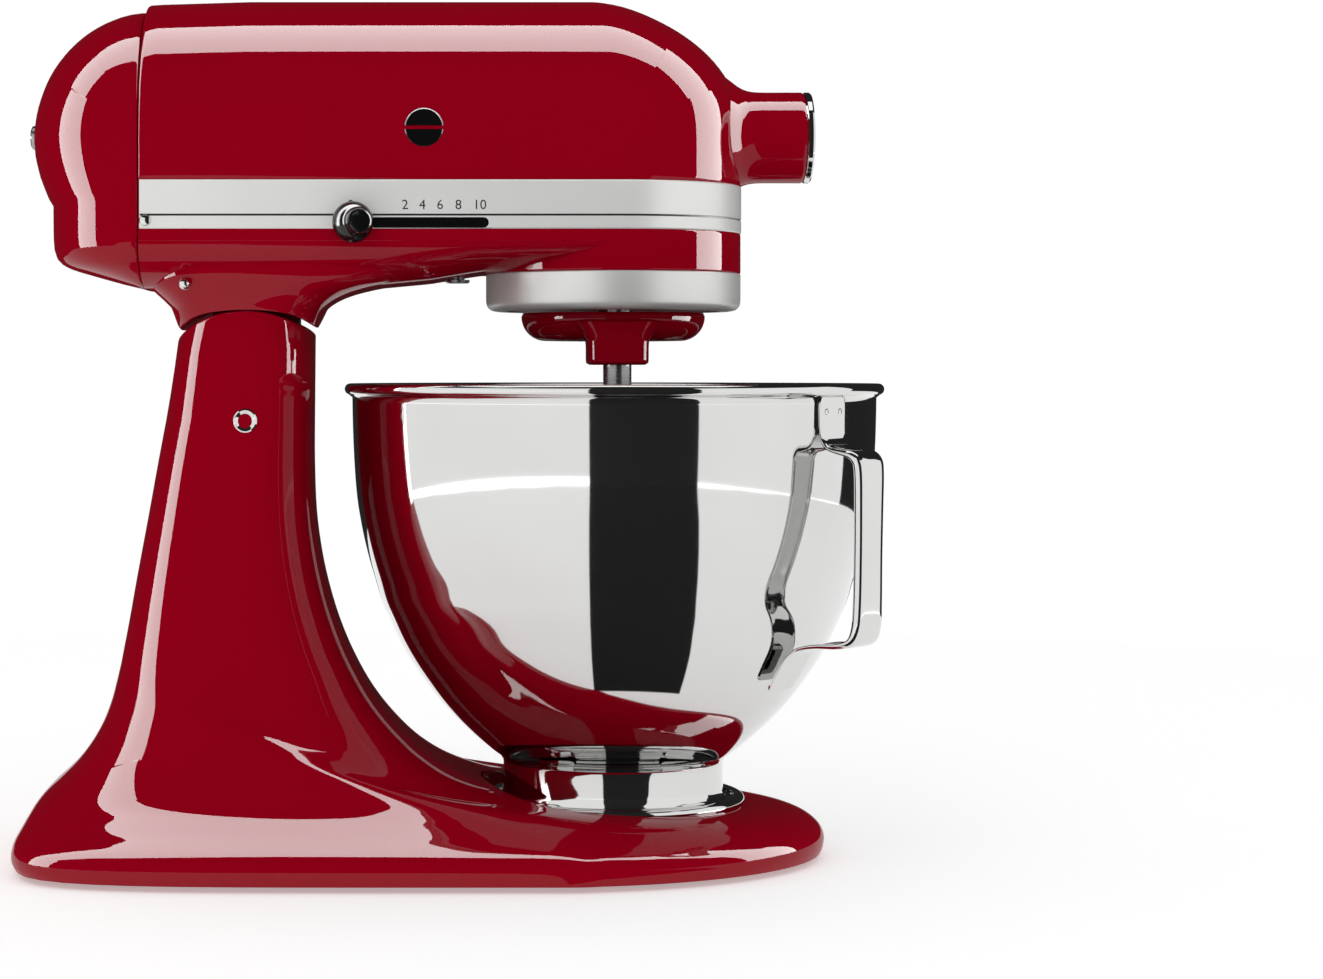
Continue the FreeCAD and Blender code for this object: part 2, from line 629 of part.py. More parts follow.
def hub_cover():
    disc = turned([(0, 0), (HUB_R, 0), (HUB_R, 2.2), (HUB_R - 0.8, 3.0), (0, 3.0)],
                  (HUB_FACE_X + 0.3, 0, DRIVE_Z), X_AXIS)
    skirt = tube(COVER_SEAT_R - RUNNING, HUB_BORE_R + 0.2, 6.3, (COVER_SEAT_X + 0.6, 0, DRIVE_Z), X_AXIS)
    return disc.fuse(skirt)


def attachment_knob():
    knob = cyl(9.5, 13, (66, 21, DRIVE_Z), Y_AXIS)
    for i in range(6):
        angle = math.radians(60 * i)
        knob = knob.cut(cyl(2.6, 15, (66 + 11 * math.cos(angle), 20, DRIVE_Z + 11 * math.sin(angle)), Y_AXIS))
    stem = cyl(3.0 - RUNNING, 6, (66, 16, DRIVE_Z), Y_AXIS)
    return knob.fuse(stem)


def control_plate():
    plate = box((-190.5, -30, DRIVE_Z - 34), (-189, 30, DRIVE_Z + 20))
    return plate.cut(cyl(8, 10, (-194, 0, DRIVE_Z), X_AXIS))


def control_board():
    board = box((-212, -28, 262), (-200, 28, 264))
    relay = box((-210, -20, 264), (-202, -8, 276))
    choke = cyl(5, 12, (-206, 8, 264))
    return fuse(board, relay, choke)


def cord_gland():
    solid = turned([(0, 0), (7.0, 0), (7.0, 2.0), (5.4, 2.3), (5.4, 9.0), (0, 9.0)],
                   (-234.1, GLAND_Y, GLAND_Z), X_AXIS)
    return solid.cut(cyl(3.6, 20, (-240, GLAND_Y, GLAND_Z), X_AXIS))


def underside_plug():
    return turned([(0, 0), (5.0, 0), (5.0, 1.2), (2.9, 1.2), (2.9, 6.0), (0, 6.0)], (-64.5, 0, 236.5))


def rear_cap_screw():
    return turned([(0, 0), (5.0, 0), (5.0, 1.6), (2.5, 1.6), (2.5, 9.0), (0, 9.0)],
                  (-241.6, 0, DRIVE_Z), X_AXIS)


# ---------------------------------------------------------------- planetary and beater shaft


DRIVE_PIN_R = 2.0
DRIVE_PIN_Z = 230.0


def planetary_casting():
    disc = turned([(0, 214.6), (0, 224.0), (36.2, 224.0), (38.0, 222.5), (38.0, 219.0), (34.0, 213.6),
                   (30.0, 212.6), (0, 212.6)])
    boss = cyl(12.4, 224.0 - 202.6, (0, -BEATER_OFFSET, 202.6))
    hub = cyl(11, 16.5, (0, 0, 223.5)).common(cyl(16, 40, (0, 0, 212)))
    arm = box((-12.4, -BEATER_OFFSET, 205), (12.4, 6, 222))
    weight = cyl(12, 8, (0, 20, 206)).common(box((-12, 6, 206), (12, 32, 214)))
    solid = fuse(disc, boss, hub, arm, weight)
    solid = solid.cut(cyl(MAIN_SHAFT_R, 30, (0, 0, 218)))
    solid = solid.cut(cyl(BEATER_R + RUNNING, 60, (0, -BEATER_OFFSET, 190)))
    return solid.cut(cyl(DRIVE_PIN_R, 26, (-13, 0, DRIVE_PIN_Z), X_AXIS))


def drive_pin():
    pin = cyl(DRIVE_PIN_R, 21, (-10.5, 0, DRIVE_PIN_Z), X_AXIS)
    return pin.cut(cyl(MAIN_SHAFT_R, 30, (0, 0, 218)))


def beater_shaft():
    """Shaft with a slightly narrower neck where the cross pin goes through."""
    low, neck, high, top = 165.0, 185.6, 190.4, 235.5
    y = -BEATER_OFFSET
    end = cyl(BEATER_R, neck - low, (0, y, low))
    waist = cyl(BEATER_R - 0.2, high - neck, (0, y, neck))
    return fuse(waist, end, cyl(BEATER_R, top - high, (0, y, high)))


def beater_pin():
    pin = cyl(2.4, 20, (-10, -BEATER_OFFSET, 188), X_AXIS)
    return pin.cut(cyl(BEATER_R - 0.2, 40, (0, -BEATER_OFFSET, 170)))


def planet_pinion():
    gear = spur_gear(PLANET_TEETH, RING_MODULE, 7.0, BEATER_R, PLANET_PHASE)
    gear.translate(V(0, -BEATER_OFFSET, 228.3))
    return gear


# the ring has a tooth space centred on -Y, where a tooth of the pinion stands at rest
PLANET_PHASE = -math.pi / 2


# ---------------------------------------------------------------- pedestal


def footprint(front, middle, rear, half, n_front, n_rear, height, count=44):
    """Egg-shaped level curve: two half superellipses that meet at their widest place."""
    points = []
    for i in range(count):
        angle = 2 * math.pi * (i + 0.5) / count
        c, s = math.cos(angle), math.sin(angle)
        power = n_front if c > 0 else n_rear
        reach = (front - middle) if c > 0 else (middle - rear)
        points.append((middle + reach * math.copysign(abs(c) ** (2 / power), c),
                       half * math.copysign(abs(s) ** (2 / power), s), height))
    return points


BASE_LEVELS = [(2.5, 86.0, -35, -242.0, 96.0, 2.0, 4.0), (8, 87, -35, -243.5, 97, 2.0, 4.0),
               (13, 85.5, -36, -242.5, 95.5, 2.0, 4.0), (17.5, 80.5, -38, -239.5, 90.5, 2.0, 3.8),
               (20.8, 72, -40, -234, 82, 2.0, 3.6), (BASE_FLAT_Z, 60, -42, -226, 72, 2.0, 3.4)]
COLUMN_LEVELS = [(16, -2, -120, -240.5, 86, 2.2, 3.6), (23, -22, -125, -238, 81, 2.3, 3.5),
                 (28, -38, -132, -233.5, 77, 2.4, 3.4), (35, -56, -138, -225.6, 71, 2.5, 3.3),
                 (43, -73.2, -145, -218.4, 64.5, 2.6, 3.2), (52, -84.1, -148, -212.5, 59.5, 2.7, 3.1),
                 (61, -91.9, -150, -208.4, 56.2, 2.8, 3.0), (75, -102, -153, -204.4, 52.8, 2.9, 3.0),
                 (91, -110.3, -155.5, -201, 50.2, 3.0, 3.0), (115, -118.2, -157.5, -196.7, 47.9, 3.0, 3.0),
                 (140, -122.8, -157, -191.7, 46.4, 3.0, 3.0), (163, -123.8, -155.5, -187.4, 45.5, 3.0, 3.0),
                 (188, -123.7, -153, -182.5, 45.0, 3.0, 3.0), (228, -123.7, -150.6, -177.5, 44.8, 3.0, 3.0)]


def level_loft(levels, inset=0.0, flat=False):
    """Solid through the level curves: smooth, or with flat facets as inside the casting."""
    wires = []
    for z, front, middle, rear, half, n_front, n_rear in levels:
        points = footprint(front - inset, middle, rear + inset, half - inset, n_front, n_rear, z,
                           16 if flat else 44)
        wires.append(outline_wire(points) if flat else smooth_wire(points))
    return Part.makeLoft(wires, True, flat)


CORE_LEVELS = (16, 35, 61, 91, 140)
FOOT_PLACES = ((64, 0), (12, 66), (12, -66), (-205, 56), (-205, -56))


def pedestal_casting():
    """Foot and column in one casting, hollow below, with bosses for the feet and the plate's screws."""
    base = level_loft(BASE_LEVELS)
    column = level_loft(COLUMN_LEVELS)
    round_top = cyl(ARC_PEDESTAL, 120, (PIN_X, -60, PIN_Z), Y_AXIS)
    below = box((-260, -120, 0), (100, 120, PIN_Z))
    column = column.common(round_top.fuse(below))
    solid = base.fuse(column)
    under = footprint(75, -35, -231, 85, 2.0, 4.0, 0, 32)
    solid = solid.cut(plan_slab([point[:2] for point in under], BASE_LOW - 1, HOLLOW_CEILING))
    core = [level for level in COLUMN_LEVELS if level[0] in CORE_LEVELS]
    solid = solid.cut(level_loft(core, COLUMN_WALL, True))
    solid = solid.cut(cyl(PLATE_POCKET_R, 20, (0, 0, BASE_FLAT_Z)))
    solid = solid.cut(hinge_slot())
    solid = solid.cut(cyl(PIN_R, 120, (PIN_X, -60, PIN_Z), Y_AXIS))
    solid = solid.cut(box(*HOOK_NOTCH))
    solid = solid.cut(cyl(HEIGHT_SCREW_HOLE_R, 16, (-130.6, 0, 176)))
    solid = solid.cut(cyl(3, 46, (-200, 32, PIN_Z), X_AXIS))
    for x, y in FOOT_PLACES:
        boss = cyl(FOOT_BOSS_R, HOLLOW_CEILING - 2, (x, y, 3))
        if x < 0:
            boss = boss.fuse(box((x - 20, y - 3, 6), (x, y + 3, 16)))
        solid = solid.fuse(boss.cut(cyl(3, 6.5, (x, y, 2))))
    for a in SCREW_ANGLES:
        x, y = PLATE_SCREW_RING * math.cos(a), PLATE_SCREW_RING * math.sin(a)
        solid = solid.fuse(cyl(6, 12, (x, y, 8))).cut(cyl(2.0, 14, (x, y, 11)))
    return solid


def hinge_slot():
    """Room for the tongue, at rest and swung back with the head."""
    clear = EYE_R + 2.0
    lean = math.radians(41)
    back = V(-math.cos(lean), 0, -math.sin(lean))
    up = V(-math.sin(lean), 0, math.cos(lean))
    first = V(PIN_X, 0, PIN_Z) + back * clear
    second = first + up * 70
    outline = [(PIN_X, PIN_Z), (first.x, first.z), (second.x, second.z), (second.x, 250),
               (-127.2, 250), (-127.2, 190), (PIN_X + clear, 190), (PIN_X + clear, PIN_Z)]
    return side_slab(outline, SLOT_HALF).fuse(
        cyl(clear, 2 * SLOT_HALF, (PIN_X, -SLOT_HALF, PIN_Z), Y_AXIS))


SCREW_ANGLES = (math.radians(0), math.radians(120), math.radians(240))
PLATE_SCREW_RING = 34.0
PLATE_POCKET_R = 55.0
HOLLOW_CEILING = 16.5
COLUMN_WALL = 6.5
HOOK_NOTCH = ((-171.5, 23.5, 214), (-154, 29.5, 230))
HEIGHT_SCREW_HOLE_R = 2.0
FOOT_BOSS_R = 9.0


def clamp_plate():
    """Dished plate with inward tabs that hold the bowl's lugs."""
    z = BASE_FLAT_Z
    dish = turned([(0, z), (54.4, z), (54.4, z + 2.2), (53.4, z + 3.6), (51.5, z + 4.1),
                   (50.0, z + 3.6), (49.6, z + 1.5), (0, z + 1.5)])
    for angle in LUG_ANGLES:
        tab = tube(51.5, 46.8, 1.0, (0, 0, z + 3.1)).common(wedge(angle, 15, z))
        dish = dish.fuse(tab)
    for a in SCREW_ANGLES:
        dish = dish.cut(cyl(2.1, 10, (PLATE_SCREW_RING * math.cos(a), PLATE_SCREW_RING * math.sin(a), z - 1)))
    return dish


def wedge(angle, half_angle, low):
    """Sector of a disc about the bowl's axis, 12 high."""
    reach = 70.0
    points = [(0, 0)]
    for a in (angle - half_angle, angle, angle + half_angle):
        points.append((reach * math.cos(math.radians(a)), reach * math.sin(math.radians(a))))
    return plan_slab(points, low, low + 12)


def clamp_plate_screws():
    screws = []
    for a in SCREW_ANGLES:
        x, y = PLATE_SCREW_RING * math.cos(a), PLATE_SCREW_RING * math.sin(a)
        head = cyl(3.6, 1.0, (x, y, BASE_FLAT_Z + 1.5))
        screws.append(head.fuse(cyl(2.0, 11, (x, y, BASE_FLAT_Z - 9.5))))
    return joined(screws)


def rubber_feet():
    feet = []
    for x, y in FOOT_PLACES:
        pad = turned([(0, 0), (8.0, 0), (9.0, 1.0), (9.0, 3.0), (0, 3.0)], (x, y, 0))
        feet.append(pad.fuse(cyl(3.0, 6.0, (x, y, 2.5))))
    return joined(feet)


def hinge_pin():
    pin = cyl(PIN_R, 90.4, (PIN_X, -45.2, PIN_Z), Y_AXIS)
    for side in (-1, 1):
        dish = Part.makeCone(3.6, 1.6, 1.6, V(PIN_X, side * 45.2, PIN_Z), V(0, -side, 0))
        pin = pin.cut(dish)
    return pin


def pin_set_screw():
    solid = cyl(3, 22, (-180, 32, PIN_Z), X_AXIS).cut(cyl(PIN_R, 80, (PIN_X, -10, PIN_Z), Y_AXIS))
    return solid.cut(box((-181, 31.6, PIN_Z - 2.4), (-179, 32.4, PIN_Z + 2.4)))


def height_screw():
    head = turned([(0, 193), (3.2, 193), (3.2, 194.6), (2.0, 196.6), (0, 196.9)], (-130.6, 0, 0))
    return head.fuse(cyl(2, 17, (-130.6, 0, 176)))


# ---------------------------------------------------------------- lock


def lock_shaft():
    shaft = cyl(LOCK_R, 94.5, (LOCK_X, -44.5, LOCK_Z), Y_AXIS)
    lean = math.radians(73.6)
    hook = box((LOCK_X - 3.0, HOOK_Y[0], LOCK_Z - 18.5), (LOCK_X + 3.0, HOOK_Y[1], LOCK_Z))
    hook = hook.fuse(cyl(4.5, HOOK_Y[1] - HOOK_Y[0], (LOCK_X, HOOK_Y[0], LOCK_Z), Y_AXIS))
    hook.rotate(V(LOCK_X, 0, LOCK_Z), Y_AXIS, -math.degrees(lean))
    return shaft.fuse(hook)


def lock_lever():
    y = 46.0
    arm = box((LOCK_X - 3.5, y, LOCK_Z - 2), (LOCK_X + 3.5, y + 4, LOCK_Z + 24))
    hub = cyl(5.4, 4.0, (LOCK_X, y, LOCK_Z), Y_AXIS)
    knob = cyl(6.0, 12.0, (LOCK_X, y, LOCK_Z + 24), Y_AXIS)
    lever = fuse(arm, hub, knob).cut(cyl(LOCK_R, 20, (LOCK_X, 40, LOCK_Z), Y_AXIS))
    lever.rotate(V(LOCK_X, 0, LOCK_Z), Y_AXIS, 110)
    return lever


# ---------------------------------------------------------------- speed control


def speed_knob():
    """Round knob on a stalk that leans forward from the slot in the trim band."""
    lean = V(math.sin(math.radians(17)), -math.cos(math.radians(17)), 0)
    base = V(LEVER_X, -BAND_OUTER - 0.5, LEVER_Z)
    profile = [(0, 0), (6.5, 0), (8.25, 2.5), (8.25, 6.0), (6.4, 9.5), (5.0, 11.0), (5.0, 15.0),
               (4.2, 16.5), (0, 16.5)]
    outside = box((-130, -80, 240), (-80, -BAND_OUTER - 0.5, 280))
    return turned(profile, (base.x, base.y, base.z), lean).common(outside)


def speed_link():
    stem = box((LEVER_X - 2.5, -BAND_OUTER - 0.5, LEVER_Z - 1.4), (LEVER_X + 2.5, -44, LEVER_Z + 1.4))
    plate = box((LEVER_X - 14, -46, LEVER_Z - 3), (LEVER_X + 5, -44, LEVER_Z + 3))
    return stem.fuse(plate)


# ---------------------------------------------------------------- bowl


BOWL_OUTER = [(45.5, 40.0), (54.2, 46.9), (63.5, 55.2), (71.4, 63.5), (77.9, 71.8), (83.7, 80.2),
              (88.5, 88.5), (92.4, 96.8), (95.9, 105), (98.4, 113.4), (100.9, 121.7), (103, 130),
              (104.7, 138.3), (106.3, 147), (107.2, 160), (107.8, 172), (108.1, 182), (108.2, 191)]


def bowl_shell():
    """Spun bowl of one wall thickness with a rolled rim."""
    outer = [(0, 0, 35.5), (20, 0, 35.8), (34, 0, 37.0)] + [(r, 0, z) for r, z in BOWL_OUTER]
    inner = [(0, 0, 35.5 + BOWL_WALL), (20, 0, 35.8 + BOWL_WALL), (33.8, 0, 37.0 + BOWL_WALL)]
    for r, z in BOWL_OUTER:
        share = min(1.0, (z - 36.0) / 80.0)
        inner.append((r - BOWL_WALL * (0.75 + 0.25 * share), 0, z + BOWL_WALL * (1.0 - share)))
    edges = [spline(outer), line(outer[-1], inner[-1]), spline(inner[::-1]), line(inner[0], outer[0])]
    wall = Part.Face(Part.Wire(edges)).revolve(V(0, 0, 0), Z_AXIS, 360)
    roll = Part.makeTorus(109.1, 2.3, V(0, 0, 192.7), Z_AXIS)
    return fuse(wall, roll)


def bowl_foot():
    """Foot ring with four lugs that turn under the clamp plate's tabs."""
    ring = turned([(40.5, 23.7), (45.5, 23.7), (45.5, 40.4), (46.6, 42.0), (44.6, 43.4), (42.6, 41.6),
                   (40.5, 38.4)])
    ring = ring.cut(bowl_solid())
    for angle in LUG_ANGLES:
        lug = tube(49.0, 44.0, 1.0, (0, 0, 23.7)).common(wedge(angle, 12, 22))
        ring = ring.fuse(lug)
    return ring


def bowl_solid():
    outer = [(0, 0, 35.5), (20, 0, 35.8), (34, 0, 37.0)] + [(r, 0, z) for r, z in BOWL_OUTER]
    edges = [spline(outer), line(outer[-1], (0, 0, 191)), line((0, 0, 191), outer[0])]
    return Part.Face(Part.Wire(edges)).revolve(V(0, 0, 0), Z_AXIS, 360)


def bowl_handle():
    """Strap handle: a tab on the wall, a square shoulder, an upright grip and a lower tab."""
    outer = [(109.0, 190), (109.0, 177), (112.5, 172), (118, 170.5), (124, 169.5), (127.6, 165.5),
             (128.2, 159), (127.4, 104), (125.5, 96), (119, 92.2), (102, 91.4), (95.5, 89.5), (90.5, 84),
             (82.5, 73.5)]
    inner = [(79, 73.5), (86, 84.5), (93, 92.4), (101, 94.0), (117.5, 94.6), (122.5, 98), (124.3, 104.5),
             (125.0, 158.5), (124.6, 163.4), (121.8, 166.6), (117, 167.4), (110.4, 169.4), (107, 176.0),
             (107, 190)]
    strap = side_slab(outer + inner, HANDLE_WIDTH / 2)
    strap = strap.cut(bowl_solid()).cut(cyl(109.2, 4, (0, 0, 189.4)).cut(bowl_solid()))
    strap.rotate(V(0, 0, 0), Z_AXIS, HANDLE_ANGLE)
    return strap


# ---------------------------------------------------------------- all pieces

PIECES = {
    "pedestal_casting": pedestal_casting,
    "bowl_clamp_plate": clamp_plate,
    "clamp_plate_screws": clamp_plate_screws,
    "rubber_feet": rubber_feet,
    "hinge_pin": hinge_pin,
    "hinge_pin_set_screw": pin_set_screw,
    "head_height_screw": height_screw,
    "upper_housing": upper_housing,
    "lower_housing": lower_housing,
    "rear_cap": rear_cap,
    "rear_cap_screw": rear_cap_screw,
    "trim_band": trim_band,
    "band_screws": band_screws,
    "drip_ring": drip_ring,
    "ring_gear": ring_gear,
    "underside_plug": underside_plug,
    "stator_core": stator_core,
    "field_coils": field_coils,
    "brush_holders": brush_holders,
    "carbon_brushes": carbon_brushes,
    "brush_springs": brush_springs,
    "brush_caps": brush_caps,
    "shaft_bearings": bearings,
    "rear_bearing_bracket": rear_bearing_bracket,
    "gear_bracket": gear_bracket,
    "gear_bracket_screws": bracket_screws,
    "speed_control_plate": control_plate,
    "speed_control_board": control_board,
    "cord_gland": cord_gland,
    "motor_shaft": motor_shaft,
    "armature_core": armature_core,
    "commutator": commutator,
    "cooling_fan": cooling_fan,
    "governor": governor,
    "worm_gear": worm_gear,
    "worm_gear_shaft": worm_gear_shaft,
    "planetary_casting": planetary_casting,
    "main_shaft": main_shaft,
    "centre_gear": centre_gear,
    "planetary_drive_pin": drive_pin,
    "beater_shaft": beater_shaft,
    "beater_pin": beater_pin,
    "planet_pinion": planet_pinion,
    "hub_bevel_gear": hub_bevel_gear,
    "hub_drive_shaft": hub_drive_shaft,
    "hub_cover": hub_cover,
    "attachment_knob": attachment_knob,
    "lock_shaft": lock_shaft,
    "lock_lever": lock_lever,
    "speed_knob": speed_knob,
    "speed_link": speed_link,
    "bowl_shell": bowl_shell,
    "bowl_foot": bowl_foot,
    "bowl_handle": bowl_handle,
}

os.makedirs("parts", exist_ok=True)
for name, make in PIECES.items():
    shape = make()
    shape.translate(V(BOWL_AXIS_X, 0, 0))
    shape.exportStep("parts/" + name + ".step")
    print(name, "solids", len(shape.Solids), "volume", round(shape.Volume), "valid", shape.isValid())
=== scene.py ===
"""Visual model of a tilt-head stand mixer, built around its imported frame.

Lengths in the classes are millimetres. X is measured from the bowl's axis towards the attachment
hub, Y across and Z up from the table; a Datum turns them into metres in the frame's own axes.
"""
import json
import logging
import math
from dataclasses import dataclass
from enum import Enum
from typing import Optional, Sequence

import bmesh
import bpy
from mathutils import Matrix, Vector

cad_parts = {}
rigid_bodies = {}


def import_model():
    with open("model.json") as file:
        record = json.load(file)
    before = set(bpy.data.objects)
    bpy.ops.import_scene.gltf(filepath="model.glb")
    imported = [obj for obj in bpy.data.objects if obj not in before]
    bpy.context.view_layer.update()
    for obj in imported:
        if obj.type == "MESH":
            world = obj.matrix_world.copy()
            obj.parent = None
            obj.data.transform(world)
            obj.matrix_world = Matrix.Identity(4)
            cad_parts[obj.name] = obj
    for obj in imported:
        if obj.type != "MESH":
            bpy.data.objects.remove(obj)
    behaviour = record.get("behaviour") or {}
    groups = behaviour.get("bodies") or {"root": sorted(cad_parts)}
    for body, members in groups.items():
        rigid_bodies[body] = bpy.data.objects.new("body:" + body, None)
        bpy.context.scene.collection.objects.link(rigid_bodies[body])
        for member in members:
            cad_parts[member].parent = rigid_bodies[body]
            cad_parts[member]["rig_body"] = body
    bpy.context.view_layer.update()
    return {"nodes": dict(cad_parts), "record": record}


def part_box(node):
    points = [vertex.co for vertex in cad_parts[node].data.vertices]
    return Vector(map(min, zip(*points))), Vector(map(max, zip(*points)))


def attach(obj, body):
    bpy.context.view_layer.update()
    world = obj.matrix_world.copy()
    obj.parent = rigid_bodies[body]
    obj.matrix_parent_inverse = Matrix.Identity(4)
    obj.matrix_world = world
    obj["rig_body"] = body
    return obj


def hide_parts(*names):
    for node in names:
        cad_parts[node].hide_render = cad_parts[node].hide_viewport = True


LOG = logging.getLogger("mixer")
Point = tuple[float, ...]
MM = 0.001


class Body(str, Enum):
    """The frame's bodies that a piece can ride on."""

    PEDESTAL = "pedestal"
    HEAD = "head"
    PLANETARY = "planetary"
    BEATER = "beater_drive"
    HUB_COVER = "hub_cover"
    KNOB = "attachment_knob"
    LOCK = "lock"
    SPEED = "speed_control"
    BOWL = "bowl"


class Slot(str, Enum):
    """The record's material slots."""

    RED = "red_enamel"
    BAND = "brushed_aluminium"
    SATIN = "satin_aluminium"
    POLISHED = "polished_steel"
    STEEL = "plain_steel"
    CAST = "cast_metal"
    BLACK = "black_plastic"
    PHENOLIC = "phenolic"
    RUBBER = "black_rubber"
    BRONZE = "bronze"
    CARBON = "carbon"
    COPPER = "copper_winding"


@dataclass(frozen=True)
class Datum:
    """Where the bowl's axis stands in the frame, in metres."""

    axis_x: float

    def at(self, x: float, y: float, z: float) -> Vector:
        """A point in metres from millimetres about the bowl's axis."""
        return Vector((self.axis_x + x * MM, y * MM, z * MM))


# ---------------------------------------------------------------- curves and meshes


def through(points: Sequence[Point], steps: int) -> list[Point]:
    """Smooth curve through points of any number of values.

    Args:
        points: the places that the curve passes through, in order.
        steps: how many spans each stretch between two places gets.

    Returns:
        The places and the points between them.
    """
    out: list[Point] = []
    last = len(points) - 1
    for i in range(last):
        a = points[max(i - 1, 0)]
        b = points[i]
        c = points[i + 1]
        d = points[min(i + 2, last)]
        for k in range(steps):
            t = k / steps
            out.append(tuple(
                0.5 * (2 * q + (r - p) * t + (2 * p - 5 * q + 4 * r - s) * t * t
                       + (3 * q - p - 3 * r + s) * t ** 3)
                for p, q, r, s in zip(a, b, c, d)))
    out.append(tuple(points[-1]))
    return out


def resampled(points: Sequence[Point], count: int) -> list[Point]:
    """Points evenly spaced along a polyline.

    Args:
        points: the polyline.
        count: how many points to return, both ends among them.

    Returns:
        The evenly spaced points.
    """
    reach = [0.0]
    for first, second in zip(points, points[1:]):
        reach.append(reach[-1] + math.dist(first, second))
    out: list[Point] = []
    span = 0
    for k in range(count):
        want = reach[-1] * k / (count - 1)
        while span < len(points) - 2 and reach[span + 1] < want:
            span += 1
        part = (want - reach[span]) / max(reach[span + 1] - reach[span], 1e-9)
        out.append(tuple(p + (q - p) * part for p, q in zip(points[span], points[span + 1])))
    return out


def arc(centre: Point, radius: float, start: float, end: float, count: int) -> list[Point]:
    """Points on an arc in a plane, from one angle to another in degrees."""
    out: list[Point] = []
    for i in range(count + 1):
        angle = math.radians(start + (end - start) * i / count)
        out.append((centre[0] + radius * math.cos(angle), centre[1] + radius * math.sin(angle)))
    return out


def look_up(table: Sequence[Point], value: float) -> float:
    """Straight-line value of a table of pairs whose first values rise."""
    if value <= table[0][0]:
        return table[0][1]
    for (a, p), (b, q) in zip(table, table[1:]):
        if value <= b:
            return p + (q - p) * (value - a) / (b - a)
    return table[-1][1]


def finished(name: str, mesh: bpy.types.Mesh, crease: float = 32.0) -> bpy.types.Object:
    """Cleans a mesh, turns its faces outwards and puts it in the scene.

    Args:
        name: the piece's name.
        mesh: its mesh, in metres.
        crease: edges sharper than this many degrees stay crisp.

    Returns:
        The new object, at the origin.
    """
    work = bmesh.new()
    work.from_mesh(mesh)
    bmesh.ops.remove_doubles(work, verts=work.verts, dist=2e-6)
    bmesh.ops.dissolve_degenerate(work, dist=1e-7, edges=work.edges)
    bmesh.ops.recalc_face_normals(work, faces=work.faces)
    work.to_mesh(mesh)
    work.free()
    mesh.polygons.foreach_set("use_smooth", [True] * len(mesh.polygons))
    mesh.set_sharp_from_angle(angle=math.radians(crease))
    piece = bpy.data.objects.new(name, mesh)
    bpy.context.scene.collection.objects.link(piece)
    return piece


def grid(name: str, rows: Sequence[Sequence[Vector]], closed: bool = True, cap: bool = True,
         crease: float = 32.0) -> bpy.types.Object:
    """Surface through rows of points.

    Args:
        name: the piece's name.
        rows: rows with the same number of points, in metres.
        closed: each row runs back to its own first point.
        cap: the first and last rows are closed with a face.
        crease: edges sharper than this many degrees stay crisp.

    Returns:
        The new object.
    """
    width = len(rows[0])
    points = [tuple(p) for row in rows for p in row]
    faces = []
    for r in range(len(rows) - 1):
        for c in range(width if closed else width - 1):
            d = (c + 1) % width
            faces.append((r * width + c, r * width + d, (r + 1) * width + d, (r + 1) * width + c))
    if cap and closed:
        faces.append(tuple(range(width - 1, -1, -1)))
        faces.append(tuple(range((len(rows) - 1) * width, len(rows) * width)))
    mesh = bpy.data.meshes.new(name)
    mesh.from_pydata(points, [], faces)
    return finished(name, mesh, crease)


def lathe(name: str, profile: Sequence[Point], centre: Vector, along: Vector = Vector((0, 0, 1)),
          segments: int = 96, crease: float = 32.0) -> bpy.types.Object:
    """Turned piece.

    Args:
        name: the piece's name.
        profile: closed outline of (radius, distance along the axis) in millimetres.
        centre: where distance 0 is, in metres.
        along: the axis.
        segments: facets round the axis.
        crease: edges sharper than this many degrees stay crisp.

    Returns:
        The new object.
    """
    turn = Vector((0, 0, 1)).rotation_difference(along.normalized()).to_matrix()
    rows = []
    for i in range(segments):
        angle = 2 * math.pi * i / segments
        c, s = math.cos(angle), math.sin(angle)
        rows.append([centre + turn @ Vector((r * c * MM, r * s * MM, h * MM)) for r, h in profile])
    rows.append(rows[0])
    return grid(name, rows, closed=True, cap=False, crease=crease)


def prism(name: str, outline: Sequence[Vector], depth: Vector) -> bpy.types.Object:
    """Outline carried along one direction, closed at both ends."""
    return grid(name, [list(outline), [p + depth for p in outline]], crease=30.0)


def with_modifiers(piece: bpy.types.Object) -> bpy.types.Object:
    """Bakes a piece's live modifiers into its mesh and removes them."""
    bpy.context.view_layer.update()
    graph = bpy.context.evaluated_depsgraph_get()
    mesh = bpy.data.meshes.new_from_object(piece.evaluated_get(graph))
    piece.modifiers.clear()
    piece.data = mesh
    return piece


def walled(piece: bpy.types.Object, thickness: float) -> bpy.types.Object:
    """Gives an open skin a wall on its inner side, thickness in millimetres."""
    wall = piece.modifiers.new("wall", "SOLIDIFY")
    wall.thickness = thickness * MM
    wall.offset = -1.0
    wall.use_even_offset = False
    return with_modifiers(piece)


def carved(piece: bpy.types.Object, cutter: bpy.types.Object, crease: float = 32.0,
           solver: str = "EXACT") -> bpy.types.Object:
    """Takes a closed cutter out of a closed piece and deletes the cutter.

    Args:
        piece: the piece to cut.
        cutter: the closed piece that is taken out.
        crease: edges sharper than this many degrees stay crisp.
        solver: how the cut is worked out.

    Returns:
        The piece.
    """
    cut = piece.modifiers.new("cut", "BOOLEAN")
    cut.operation = "DIFFERENCE"
    cut.solver = solver
    cut.object = cutter
    with_modifiers(piece)
    bpy.data.objects.remove(cutter)
    piece.data.polygons.foreach_set("use_smooth", [True] * len(piece.data.polygons))
    piece.data.set_sharp_from_angle(angle=math.radians(crease))
    return piece


